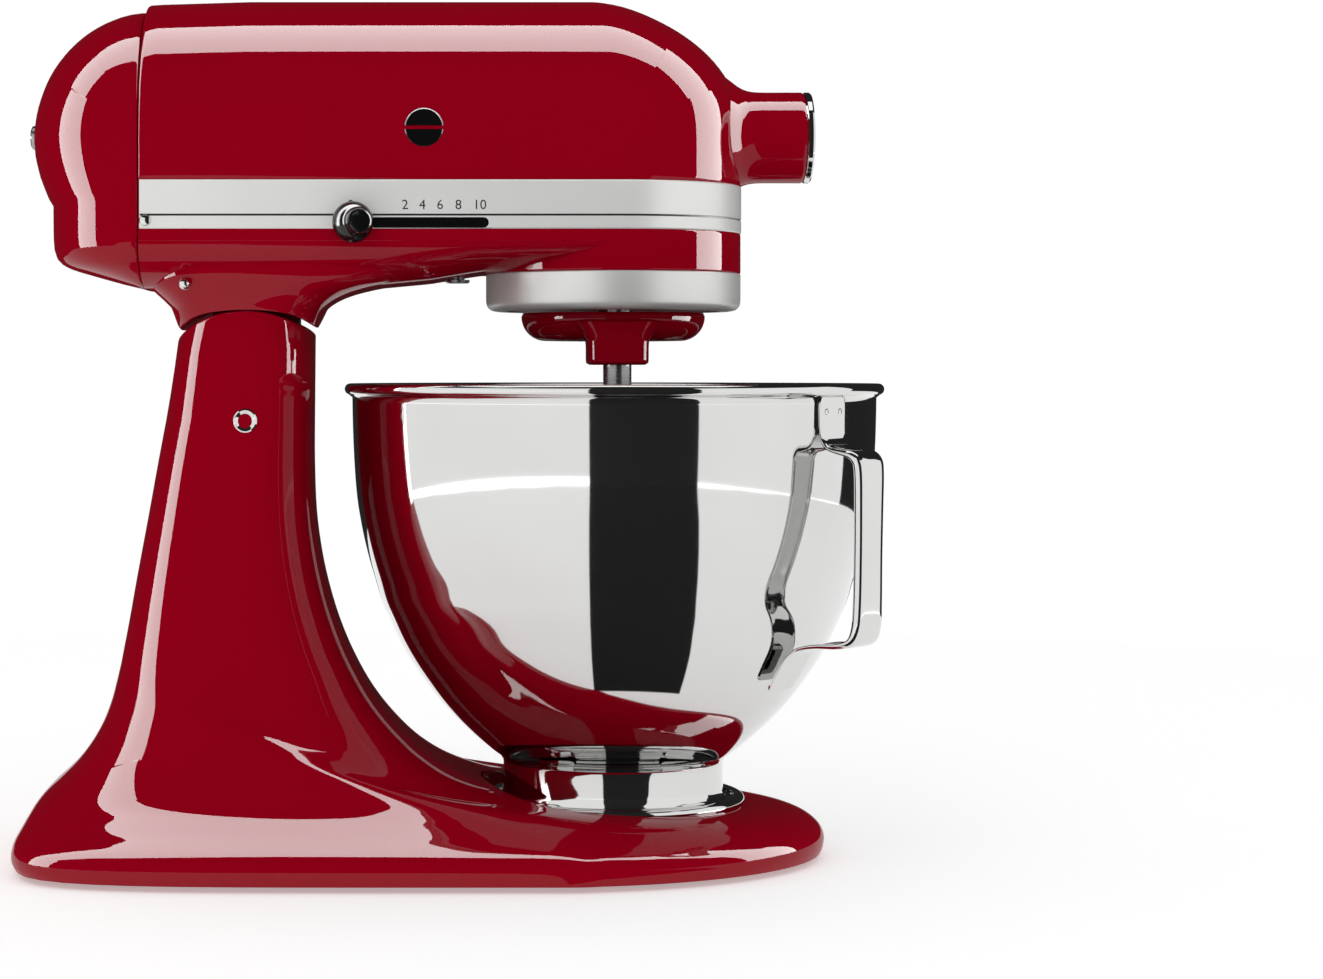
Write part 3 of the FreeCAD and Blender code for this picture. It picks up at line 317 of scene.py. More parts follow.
def joined(name: str, pieces: Sequence[bpy.types.Object], crease: float = 32.0) -> bpy.types.Object:
    """Several pieces of one finish made one piece."""
    work = bmesh.new()
    for piece in pieces:
        work.from_mesh(piece.data)
        bpy.data.objects.remove(piece)
    mesh = bpy.data.meshes.new(name)
    work.to_mesh(mesh)
    work.free()
    mesh.polygons.foreach_set("use_smooth", [True] * len(mesh.polygons))
    mesh.set_sharp_from_angle(angle=math.radians(crease))
    out = bpy.data.objects.new(name, mesh)
    bpy.context.scene.collection.objects.link(out)
    return out


# ---------------------------------------------------------------- node trees


def add(tree: bpy.types.NodeTree, kind: str, values: Optional[dict] = None,
        **settings: object) -> bpy.types.Node:
    """Adds one node with its settings, values and links.

    Args:
        tree: the tree that gets it.
        kind: the node's type.
        values: value or output socket for each input, by name or number.
        settings: properties of the node.

    Returns:
        The node.
    """
    node = tree.nodes.new(kind)
    for name, value in settings.items():
        setattr(node, name, value)
    for key, value in (values or {}).items():
        if isinstance(value, bpy.types.NodeSocket):
            tree.links.new(value, node.inputs[key])
        else:
            node.inputs[key].default_value = value
    return node


def linear(hex_value: str) -> tuple[float, float, float, float]:
    """Linear colour of an sRGB hex value such as "#8c0014"."""
    parts = [int(hex_value[i:i + 2], 16) / 255 for i in (1, 3, 5)]
    r, g, b = (p / 12.92 if p <= 0.04045 else ((p + 0.055) / 1.055) ** 2.4 for p in parts)
    return (r, g, b, 1.0)


def per_metre(size_mm: float) -> float:
    """Pattern scale that makes one feature about this many millimetres."""
    return 1.0 / (size_mm * MM)


class Repeat:
    """Geometry Nodes trees that set one small piece out many times."""

    @staticmethod
    def _tree(name: str, inputs: Sequence[tuple[str, str]]) -> tuple[bpy.types.NodeTree, bpy.types.Node]:
        """Empty tree with named inputs, and its Group Input node."""
        tree = bpy.data.node_groups.new(name, "GeometryNodeTree")
        tree.interface.new_socket("Geometry", in_out="INPUT", socket_type="NodeSocketGeometry")
        for label, kind in inputs:
            tree.interface.new_socket(label, in_out="INPUT", socket_type=kind)
        tree.interface.new_socket("Geometry", in_out="OUTPUT", socket_type="NodeSocketGeometry")
        return tree, add(tree, "NodeGroupInput")

    @staticmethod
    def _end(tree: bpy.types.NodeTree, instances: bpy.types.NodeSocket,
             material: bpy.types.NodeSocket) -> None:
        """Realizes the instances, sets their material and leads them out."""
        real = add(tree, "GeometryNodeRealizeInstances", {0: instances})
        painted = add(tree, "GeometryNodeSetMaterial", {"Geometry": real.outputs[0], "Material": material})
        add(tree, "NodeGroupOutput", {0: painted.outputs[0]})

    @staticmethod
    def _run(name: str, host: bpy.types.Mesh, tree: bpy.types.NodeTree, values: dict,
             place: Matrix) -> bpy.types.Object:
        """Evaluates a tree on a host mesh and returns the result as a plain piece.

        Args:
            name: the piece's name.
            host: mesh that the tree starts from.
            tree: the tree.
            values: value of each named input.
            place: where the result goes.

        Returns:
            The piece, with its place in its mesh.
        """
        holder = bpy.data.objects.new(name, host)
        bpy.context.scene.collection.objects.link(holder)
        modifier = holder.modifiers.new("repeat", "NODES")
        modifier.node_group = tree
        for item in tree.interface.items_tree:
            if item.in_out == "INPUT" and item.name in values:
                modifier[item.identifier] = values[item.name]
        with_modifiers(holder)
        holder.data.transform(place)
        bpy.data.objects.remove(values["Piece"])
        return holder

    @classmethod
    def ring(cls, name: str, piece: bpy.types.Object, count: int, radius: float,
             material: bpy.types.Material,
             place: Matrix) -> bpy.types.Object:
        """Sets a piece out on a circle, each one turned with its place.

        Args:
            name: the new piece's name.
            piece: the piece to repeat, drawn where angle 0 meets radius 0.
            count: how many.
            radius: the circle's radius in millimetres.
            material: its finish.
            place: where the circle's centre and axis go.

        Returns:
            The new piece.
        """
        tree, given = cls._tree(name + "_ring", [("Piece", "NodeSocketObject"), ("Count", "NodeSocketInt"),
                                                 ("Radius", "NodeSocketFloat"),
                                                 ("Finish", "NodeSocketMaterial")])
        circle = add(tree, "GeometryNodeMeshCircle",
                     {"Vertices": given.outputs["Count"], "Radius": given.outputs["Radius"]})
        number = add(tree, "GeometryNodeInputIndex")
        step = add(tree, "ShaderNodeMath", {0: 2 * math.pi, 1: given.outputs["Count"]}, operation="DIVIDE")
        turn = add(tree, "ShaderNodeMath", {0: number.outputs[0], 1: step.outputs[0]}, operation="MULTIPLY")
        angles = add(tree, "ShaderNodeCombineXYZ", {"Z": turn.outputs[0]})
        source = add(tree, "GeometryNodeObjectInfo", {"Object": given.outputs["Piece"]})
        spread = add(tree, "GeometryNodeInstanceOnPoints",
                     {"Points": circle.outputs[0], "Instance": source.outputs["Geometry"],
                      "Rotation": angles.outputs[0]})
        cls._end(tree, spread.outputs[0], given.outputs["Finish"])
        values = {"Piece": piece, "Count": count, "Radius": radius * MM, "Finish": material}
        return cls._run(name, bpy.data.meshes.new(name), tree, values, place)

    @classmethod
    def places(cls, name: str, piece: bpy.types.Object, at: Sequence[Vector], material: bpy.types.Material,
               size: float = 1.0) -> bpy.types.Object:
        """Sets a piece out at a list of places, all one way round.

        Args:
            name: the new piece's name.
            piece: the piece to repeat, drawn at the origin.
            at: the places, in metres.
            material: its finish.
            size: scale of each one.

        Returns:
            The new piece.
        """
        tree, given = cls._tree(name + "_places",
                                [("Piece", "NodeSocketObject"), ("Size", "NodeSocketFloat"),
                                                   ("Finish", "NodeSocketMaterial")])
        source = add(tree, "GeometryNodeObjectInfo", {"Object": given.outputs["Piece"]})
        spread = add(tree, "GeometryNodeInstanceOnPoints",
                     {"Points": given.outputs["Geometry"], "Instance": source.outputs["Geometry"],
                      "Scale": given.outputs["Size"]})
        cls._end(tree, spread.outputs[0], given.outputs["Finish"])
        host = bpy.data.meshes.new(name)
        host.from_pydata([tuple(p) for p in at], [], [])
        return cls._run(name, host, tree, {"Piece": piece, "Size": size, "Finish": material}, Matrix())


# ---------------------------------------------------------------- finishes


@dataclass(frozen=True)
class Finish:
    """A surface finish and the slot that it answers to."""

    name: str
    slot: Slot
    colour: str
    roughness: float
    metallic: float = 0.0
    second: str = "#808080"
    patch_mm: float = 30.0

    def material(self) -> bpy.types.Material:
        """The finish's material, made the first time that it is asked for.

        Returns:
            The material that it makes.
        """
        known = bpy.data.materials.get(self.name)
        if known is not None:
            return known
        made = bpy.data.materials.new(self.name)
        made.use_nodes = True
        tree = made.node_tree
        tree.nodes.clear()
        coords = add(tree, "ShaderNodeTexCoord").outputs["Object"]
        patch = add(tree, "ShaderNodeTexNoise",
                    {"Vector": coords, "Scale": per_metre(self.patch_mm), "Detail": 3.0})
        tone = add(tree, "ShaderNodeMix",
                   {0: patch.outputs[0], 6: linear(self.colour), 7: linear(self.second)},
                   data_type="RGBA")
        shader = add(tree, "ShaderNodeBsdfPrincipled",
                     {"Base Color": tone.outputs[2], "Metallic": self.metallic,
                      "Roughness": self.roughness})
        self.detail(tree, coords, shader)
        add(tree, "ShaderNodeOutputMaterial", {"Surface": shader.outputs[0]})
        return made

    def detail(self, tree: bpy.types.NodeTree, coords: bpy.types.NodeSocket,
               shader: bpy.types.Node) -> None:
        """Adds what sets this kind of surface apart; a plain finish adds a fine tooth."""
        self.bump(tree, add(tree, "ShaderNodeTexNoise",
                            {"Vector": coords, "Scale": per_metre(0.8)}).outputs[0],
                  shader, 0.15, 0.01)

    @staticmethod
    def bump(tree: bpy.types.NodeTree, height: bpy.types.NodeSocket, shader: bpy.types.Node,
             strength: float,
             depth_mm: float) -> None:
        """Leads a height pattern into the shader's normal."""
        bump = add(tree, "ShaderNodeBump",
                   {"Height": height, "Strength": strength, "Distance": depth_mm * MM})
        tree.links.new(bump.outputs[0], shader.inputs["Normal"])

    def rough_by(self, tree: bpy.types.NodeTree, pattern: bpy.types.NodeSocket, shader: bpy.types.Node,
                 spread: float) -> None:
        """Lets a pattern move the roughness up and down by spread."""
        span = add(tree, "ShaderNodeMapRange",
                   {"Value": pattern, "To Min": max(self.roughness - spread, 0.0),
                                                "To Max": self.roughness + spread})
        tree.links.new(span.outputs[0], shader.inputs["Roughness"])


@dataclass(frozen=True)
class Enamel(Finish):
    """Sprayed and baked gloss enamel on cast metal: deep colour under a clear, slightly wavy gloss."""

    peel_mm: float = 2.2

    def detail(self, tree: bpy.types.NodeTree, coords: bpy.types.NodeSocket,
               shader: bpy.types.Node) -> None:
        """Orange peel bends the reflections a little; a clear coat carries them."""
        peel = add(tree, "ShaderNodeTexNoise",
                   {"Vector": coords, "Scale": per_metre(self.peel_mm), "Detail": 1.0})
        self.bump(tree, peel.outputs[0], shader, 0.12, 0.004)
        shader.inputs["Specular IOR Level"].default_value = 0.0
        shader.inputs["Coat Weight"].default_value = 0.5
        shader.inputs["Coat Roughness"].default_value = 0.015
        shader.inputs["Coat IOR"].default_value = 1.5


@dataclass(frozen=True)
class LinedMetal(Finish):
    """Metal worked in one direction, so that fine level lines soften its reflections."""

    line_mm: float = 0.45
    run_mm: float = 45.0
    spread: float = 0.06
    strength: float = 0.25

    def detail(self, tree: bpy.types.NodeTree, coords: bpy.types.NodeSocket,
               shader: bpy.types.Node) -> None:
        """Lines drawn coarser than the real grit, so that they show."""
        scale = (per_metre(self.run_mm), per_metre(self.run_mm), per_metre(self.line_mm))
        placed = add(tree, "ShaderNodeMapping", {"Vector": coords, "Scale": scale}, vector_type="POINT")
        lines = add(tree, "ShaderNodeTexNoise", {"Vector": placed.outputs[0], "Scale": 1.0, "Detail": 2.0})
        self.rough_by(tree, lines.outputs[0], shader, self.spread)
        self.bump(tree, lines.outputs[0], shader, self.strength, 0.004)


@dataclass(frozen=True)
class MouldedPlastic(Finish):
    """Moulded gloss plastic or rubber: a faint tooth, and a soft highlight on its edges."""

    grain_mm: float = 0.6
    strength: float = 0.12

    def detail(self, tree: bpy.types.NodeTree, coords: bpy.types.NodeSocket,
               shader: bpy.types.Node) -> None:
        """Fine mould grain in height and in gloss."""
        grain = add(tree, "ShaderNodeTexNoise", {"Vector": coords, "Scale": per_metre(self.grain_mm)})
        self.rough_by(tree, grain.outputs[0], shader, 0.05)
        self.bump(tree, grain.outputs[0], shader, self.strength, 0.01)


# gloss enamel: deep red with crisp strip reflections
ENAMEL = Enamel("gloss_enamel_red", Slot.RED, "#960019", 0.5, 0.0, "#920018", 60.0)
# brushed and clear-anodised aluminium: light grey with soft, level streaks; the clear layer scatters, so most of
# what the eye gets is a matt share and only part is metallic
BRUSHED_ALUMINIUM = LinedMetal("brushed_anodised_aluminium", Slot.BAND, "#f0f0ee", 0.36, 0.3, "#e9e9e7",
                               25.0)
# turned and satin-blasted aluminium: broad pale highlights, with a matt share from the blasted skin
SATIN_ALUMINIUM = LinedMetal("satin_turned_aluminium", Slot.SATIN, "#ededeb", 0.42, 0.55, "#e4e4e2", 25.0,
                             0.35,
                             60.0)
# spun and mirror-polished stainless steel: the room shows in it, barely softened
POLISHED_STEEL = LinedMetal("mirror_polished_stainless_steel", Slot.POLISHED, "#dcdcdb", 0.045, 1.0,
                            "#d4d4d3",
                            40.0, 0.6, 80.0, 0.015, 0.03)
# centreless-ground steel: grey with a tight sheen
GROUND_STEEL = LinedMetal("ground_steel", Slot.STEEL, "#a9a9aa", 0.26, 1.0, "#9d9d9f", 8.0, 0.3, 12.0, 0.07)
# sand-cast aluminium: dull and slightly grainy
CAST_ALUMINIUM = Finish("sand_cast_aluminium", Slot.CAST, "#b4b4b3", 0.55, 1.0, "#a2a2a2", 4.0)
# moulded gloss ABS: black with sharp small highlights; it also colours the painted shade behind the speed slot
BLACK_ABS_AND_SLOT_SHADE = MouldedPlastic("moulded_black_abs_and_slot_shade", Slot.BLACK, "#0b0b0c", 0.16, 0.0, "#0e0e0f", 12.0)
# phenolic board: dark brown and dull
PHENOLIC = MouldedPlastic("phenolic_board", Slot.PHENOLIC, "#4a3426", 0.55, 0.0, "#3c2a20", 6.0)
# nitrile rubber: black that takes almost no highlight
NITRILE = MouldedPlastic("nitrile_rubber", Slot.RUBBER, "#141414", 0.7, 0.0, "#1a1a1a", 5.0, 0.5, 0.3)
# sintered bronze: warm and slightly porous
BRONZE = Finish("sintered_bronze", Slot.BRONZE, "#b08d57", 0.38, 1.0, "#9a7846", 3.0)
# pressed carbon: dark grey and dull
CARBON = Finish("pressed_carbon", Slot.CARBON, "#2a2a2b", 0.6, 0.0, "#222223", 2.0)
# enamelled copper wire: orange-brown with a lacquer's sheen
COPPER = Finish("enamelled_copper", Slot.COPPER, "#b4622d", 0.3, 1.0, "#8f4a20", 1.2)
# screen-printed ink: flat near-black; it also colours the painted shade in the trim band's groove
INK_AND_GROOVE_SHADE = MouldedPlastic("printed_ink_and_groove_shade", Slot.BLACK, "#101011", 0.5, 0.0, "#151516", 3.0)

PAINTED = {finish.name for finish in (ENAMEL, BLACK_ABS_AND_SLOT_SHADE, NITRILE, INK_AND_GROOVE_SHADE)}
FINISHES = (ENAMEL, BRUSHED_ALUMINIUM, SATIN_ALUMINIUM, POLISHED_STEEL, GROUND_STEEL, CAST_ALUMINIUM,
            BLACK_ABS_AND_SLOT_SHADE,
            PHENOLIC, NITRILE, BRONZE, CARBON, COPPER)


def dressed(piece: bpy.types.Object, finish: Finish, body: Body, *nodes: str) -> bpy.types.Object:
    """Gives a piece its finish, its body and the CAD nodes that it stands for."""
    piece.data.materials.clear()
    piece.data.materials.append(finish.material())
    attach(piece, body.value)
    if nodes:
        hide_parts(*nodes)
    LOG.info("%s: %s faces on %s", piece.name, len(piece.data.polygons), body.value)
    return piece


# ---------------------------------------------------------------- pedestal


@dataclass
class Pedestal:
    """Cast foot and column with a rounded top that fits under the head's neck."""

    datum: Datum
    pin_x: float = -149.9
    pin_z: float = 180.2
    top_r: float = 44.0
    around: int = 144
    under_z: float = 2.5
    hollow_z: float = 16.5
    pin_r: float = 6.35
    slot_half: float = 16.5
    slot_r: float = 17.0
    foot_places: tuple[Point, ...] = ((64, 0), (12, 66), (12, -66), (-205, 56), (-205, -56))

    # z at the front, z at the rear, front, middle, rear, half width, roundness in front and behind
    levels: tuple[Point, ...] = (
        (2.5, 2.5, 85.6, -35, -241.8, 95.6, 2.0, 5.8), (5, 5, 86.6, -35, -243.2, 96.7, 2.0, 5.8),
        (8.5, 8.5, 87, -35, -243.5, 97, 2.0, 5.8), (11.4, 11.6, 86.2, -36, -242.9, 96, 2.0, 5.7),
        (13.7, 14.3, 84.6, -38, -241.8, 94, 2.0, 5.5), (16.2, 17.2, 81.6, -41, -240.3, 90.9, 2.0, 5.2),
        (18.3, 20.5, 77.6, -45, -238.6, 87.4, 2.0, 4.8), (20, 24.4, 72, -51, -236.4, 83.8, 2.0, 4.4),
        (21.2, 28.8, 64, -58, -232.9, 80.3, 2.0, 4.0), (21.8, 34.2, 53, -68, -227, 77.1, 2.05, 3.8),
        (22.1, 40.9, 40, -80, -220.4, 74.2, 2.1, 3.6), (22.4, 48.6, 25, -93, -214.6, 71.6, 2.15, 3.4),
        (23, 57, 7, -106, -210, 69.3, 2.25, 3.2), (24.4, 65.6, -14, -118, -206.8, 67, 2.35, 3.1),
        (28, 73, -38, -128, -204.9, 64.7, 2.45, 3.0), (34.5, 77.5, -60, -136, -203.8, 62.3, 2.55, 3.0),
        (43, 81, -76, -142, -203, 59.9, 2.65, 3.0), (54, 84, -88.5, -147, -202.4, 57.5, 2.75, 3.0),
        (67, 87, -99, -151, -201.8, 55.2, 2.85, 3.0), (81, 93, -107, -154, -200.6, 53.2, 2.95, 3.0),
        (95, 101, -113, -156, -199.1, 51.4, 3.0, 3.0), (109, 113, -117.4, -157.2, -197, 49.6, 3.0, 3.0),
        (124, 126, -120.8, -157.4, -194.6, 48, 3.0, 3.0), (142, 142, -123.2, -157, -191.6, 46.6, 3.0, 3.0),
        (163, 163, -124.0, -155.5, -187.8, 45.7, 3.0, 3.0),
        (180, 180, -124.0, -153.4, -184.6, 45.1, 3.0, 3.0),
        (200, 200, -123.8, -151.6, -181.2, 44.9, 3.0, 3.0),
        (212, 209, -123.7, -151.0, -179.6, 44.8, 3.0, 3.0))

    def outline(self, level: Point, inset: float = 0.0) -> list[Point]:
        """One level curve: an egg that is rounder in front than behind, as (x, y, z) points."""
        z_front, z_rear, front, middle, rear, half, n_front, n_rear = level
        points = []
        for i in range(self.around):
            angle = 2 * math.pi * i / self.around
            c, s = math.cos(angle), math.sin(angle)
            power = n_front + (n_rear - n_front) * (0.5 - 0.5 * max(-1.0, min(1.0, c * 4)))
            reach = (front - middle if c > 0 else middle - rear) - inset
            r = (abs(c / reach) ** power + abs(s / (half - inset)) ** power) ** (-1 / power)
            share = 0.5 + 0.5 * c
            points.append((middle + r * c, r * s, z_rear + (z_front - z_rear) * share))
        return points

    def arch(self, x: float) -> float:
        """Height of the rounded top at x."""
        return self.pin_z + math.sqrt(max(self.top_r ** 2 - (x - self.pin_x) ** 2, 0.0))

    def casting(self) -> bpy.types.Object:
        """The enamelled casting with its hollow underside and the slot for the head's lug.

        Returns:
            The object that it makes.
        """
        at = self.datum.at
        first = self.levels[0]
        rows = []
        for share in (0.0, 0.4, 0.8, 1.0):
            ring = self.outline(first, 11.0)
            rows.append([at(-35 + (x + 35) * max(share, 1e-4), y * max(share, 1e-4), self.hollow_z)
                         for x, y, _ in ring])
        rows.append([at(x, y, self.under_z + 0.6) for x, y, _ in self.outline(first, 10.4)])
        rows.append([at(x, y, self.under_z) for x, y, _ in self.outline(first, 9.8)])
        rows.append([at(x, y, self.under_z) for x, y, _ in self.outline(first, 1.2)])
        for level in through(self.levels[:-2], 4):
            rows.append([at(*p) for p in self.outline(level)])
        for share in (0.35, 0.7, 1.0):
            low, high = self.levels[-3], self.levels[-1]
            level = tuple(a + (b - a) * share for a, b in zip(low, high))
            rows.append([at(x, y, 180 + (self.arch(x) - 0.9 - 180) * share) for x, y,
                         _ in self.outline(level)])
        top = self.levels[-1]
        for inset, drop in ((0.25, 0.4), (0.7, 0.12), (1.3, 0.0)):
            rows.append([at(x, y, self.arch(x) - drop) for x, y, _ in self.outline(top, inset)])
        for share in (0.9, 0.75, 0.6, 0.45, 0.3, 0.15, 1e-4):
            ring = [(-151 + (x + 151) * share, y * share) for x, y, _ in self.outline(top, 1.3)]
            rows.append([at(x, y, self.arch(x)) for x, y in ring])
        skin = grid("pedestal_casting_skin", rows, crease=38.0)
        pocket = lathe("pocket", [(0, 21.85), (55, 21.85), (55, 44), (0, 44)], self.datum.at(0, 0, 0),
                       segments=160)
        for room in (self.lug_room(), self.hook_room(), pocket):
            carved(skin, room, 38.0)
        return skin

    def lug_room(self) -> bpy.types.Object:
        """Cutter for the slot that the head's lug turns in.

        Returns:
            The object that it makes.
        """
        lean = math.radians(41)
        back = Vector((-math.cos(lean), -math.sin(lean)))
        up = Vector((-math.sin(lean), math.cos(lean)))
        pin = Vector((self.pin_x, self.pin_z))
        first = pin + back * self.slot_r
        top = first + up * 70
        outline = [(x, z) for x, z in arc(pin, self.slot_r, 221, 360, 18)]
        outline += [(self.pin_x + self.slot_r, 190), (-127.2, 190), (-127.2, 250), (top.x, 250),
                    (top.x, top.y)]
        at = self.datum.at
        return prism("lug_room", [at(x, -self.slot_half, z) for x, z in outline],
                     Vector((0, 2 * self.slot_half * MM, 0)))

    def hook_room(self) -> bpy.types.Object:
        """Cutter for the notch that the lock's hook drops into.

        Returns:
            The object that it makes.
        """
        at = self.datum.at
        outline = [at(x, 23.5, z) for x, z in ((-171.5, 214), (-154, 214), (-154, 232), (-171.5, 232))]
        return prism("hook_room", outline, Vector((0, 6 * MM, 0)))

    def pin(self) -> bpy.types.Object:
        """Hinge pin with dished and rounded ends.

        Returns:
            The object that it makes.
        """
        half = 45.9
        end = [(0, half - 1.6), (1.2, half - 1.5), (2.8, half - 0.9), (3.7, half - 0.2), (4.2, half),
               (4.75, half - 0.25), (4.9, half - 0.8)]
        profile = end + [(4.9, half - 2.4), (self.pin_r, half - 2.4)]
        profile += [(r, -h) for r, h in reversed(profile)]
        return lathe("hinge_pin_turned", profile, self.datum.at(self.pin_x, 0, self.pin_z),
                     Vector((0, 1, 0)))

    def feet(self) -> bpy.types.Object:
        """Rubber feet, all one moulding repeated.

        Returns:
            The object that it makes.
        """
        profile = [(0, 0), (6.4, 0), (7.4, 0.3), (8.4, 1.2), (9.0, 2.4), (9.0, 3.0), (3.0, 3.0),
                   (3.0, 8.5), (0, 8.5)]
        foot = lathe("foot", profile, Vector((0, 0, 0)), segments=40)
        return Repeat.places("rubber_feet_moulded", foot,
                             [self.datum.at(x, y, 0) for x, y in self.foot_places],
                             NITRILE.material())

    def build(self) -> None:
        """Makes and dresses the pedestal's pieces."""
        dressed(self.casting(), ENAMEL, Body.PEDESTAL, "pedestal_casting")
        dressed(self.pin(), POLISHED_STEEL, Body.PEDESTAL, "hinge_pin")
        dressed(self.feet(), NITRILE, Body.PEDESTAL, "rubber_feet")


@dataclass
class ClampPlate:
    """Dished plate on the foot, with tabs that hold the bowl's lugs."""

    datum: Datum
    z: float = 21.9
    rim_r: float = 54.4
    screw_r: float = 34.0
    tabs: int = 4

    def plate(self) -> bpy.types.Object:
        """Pressed dish with a rounded rim.

        Returns:
            The object that it makes.
        """
        z, r = self.z, self.rim_r
        rim = through([(r - 0.4, z + 0.1), (r, z + 1.6), (r - 0.8, z + 3.2), (r - 2.9, z + 4.05),
                       (r - 4.4, z + 3.4),
                       (r - 4.8, z + 1.9)], 5)
        profile = [(0, z)] + rim + [(0, z + 1.5)]
        return lathe("clamp_dish", profile, self.datum.at(0, 0, 0), segments=160)

    def lips(self) -> bpy.types.Object:
        """Tabs pressed inwards from the rim.

        Returns:
            The object that it makes.
        """
        rows = []
        for i in range(13):
            angle = math.radians(-15 + 30 * i / 12)
            inner = 46.9 + (1.2 if i in (0, 12) else 0.0)
            c, s = math.cos(angle), math.sin(angle)
            section = [(51.5, 3.1), (inner, 3.1), (inner, 4.0), (51.5, 4.0)]
            rows.append([Vector((r * c * MM, r * s * MM, h * MM)) for r, h in section])
        place = Matrix.Translation(self.datum.at(0, 0, self.z)) @ Matrix.Rotation(math.radians(45), 4, "Z")
        return Repeat.ring("clamp_tabs", grid("tab", rows), self.tabs, 0.0, POLISHED_STEEL.material(),
                           place)

    def screws(self) -> bpy.types.Object:
        """Pan-head screws with a cross recess.

        Returns:
            The object that it makes.
        """
        profile = [(0, -9.5), (2, -9.5), (2, 0), (3.6, 0), (3.6, 0.5), (3.1, 1.0), (2, 1.3), (0, 1.4)]
        screw = lathe("screw", profile, Vector((0, 0, 0)), segments=32)
        for turn in (0, 90):
            arm = [Matrix.Rotation(math.radians(turn), 3, "Z") @ Vector((x * MM, y * MM, 0.5 * MM))
                   for x, y in ((-1.7, -0.4), (1.7, -0.4), (1.7, 0.4), (-1.7, 0.4))]
            carved(screw, prism("recess", arm, Vector((0, 0, 2 * MM))))
        return Repeat.ring("clamp_plate_screws_turned", screw, 3, self.screw_r, GROUND_STEEL.material(),
                           Matrix.Translation(self.datum.at(0, 0, self.z + 1.5)))

    def build(self) -> None:
        """Makes and dresses the plate, its tabs and screws."""
        plate = joined("bowl_clamp_plate_pressed", [self.plate(), self.lips()])
        dressed(plate, POLISHED_STEEL, Body.PEDESTAL, "bowl_clamp_plate")
        dressed(self.screws(), GROUND_STEEL, Body.PEDESTAL, "clamp_plate_screws")


# ---------------------------------------------------------------- head


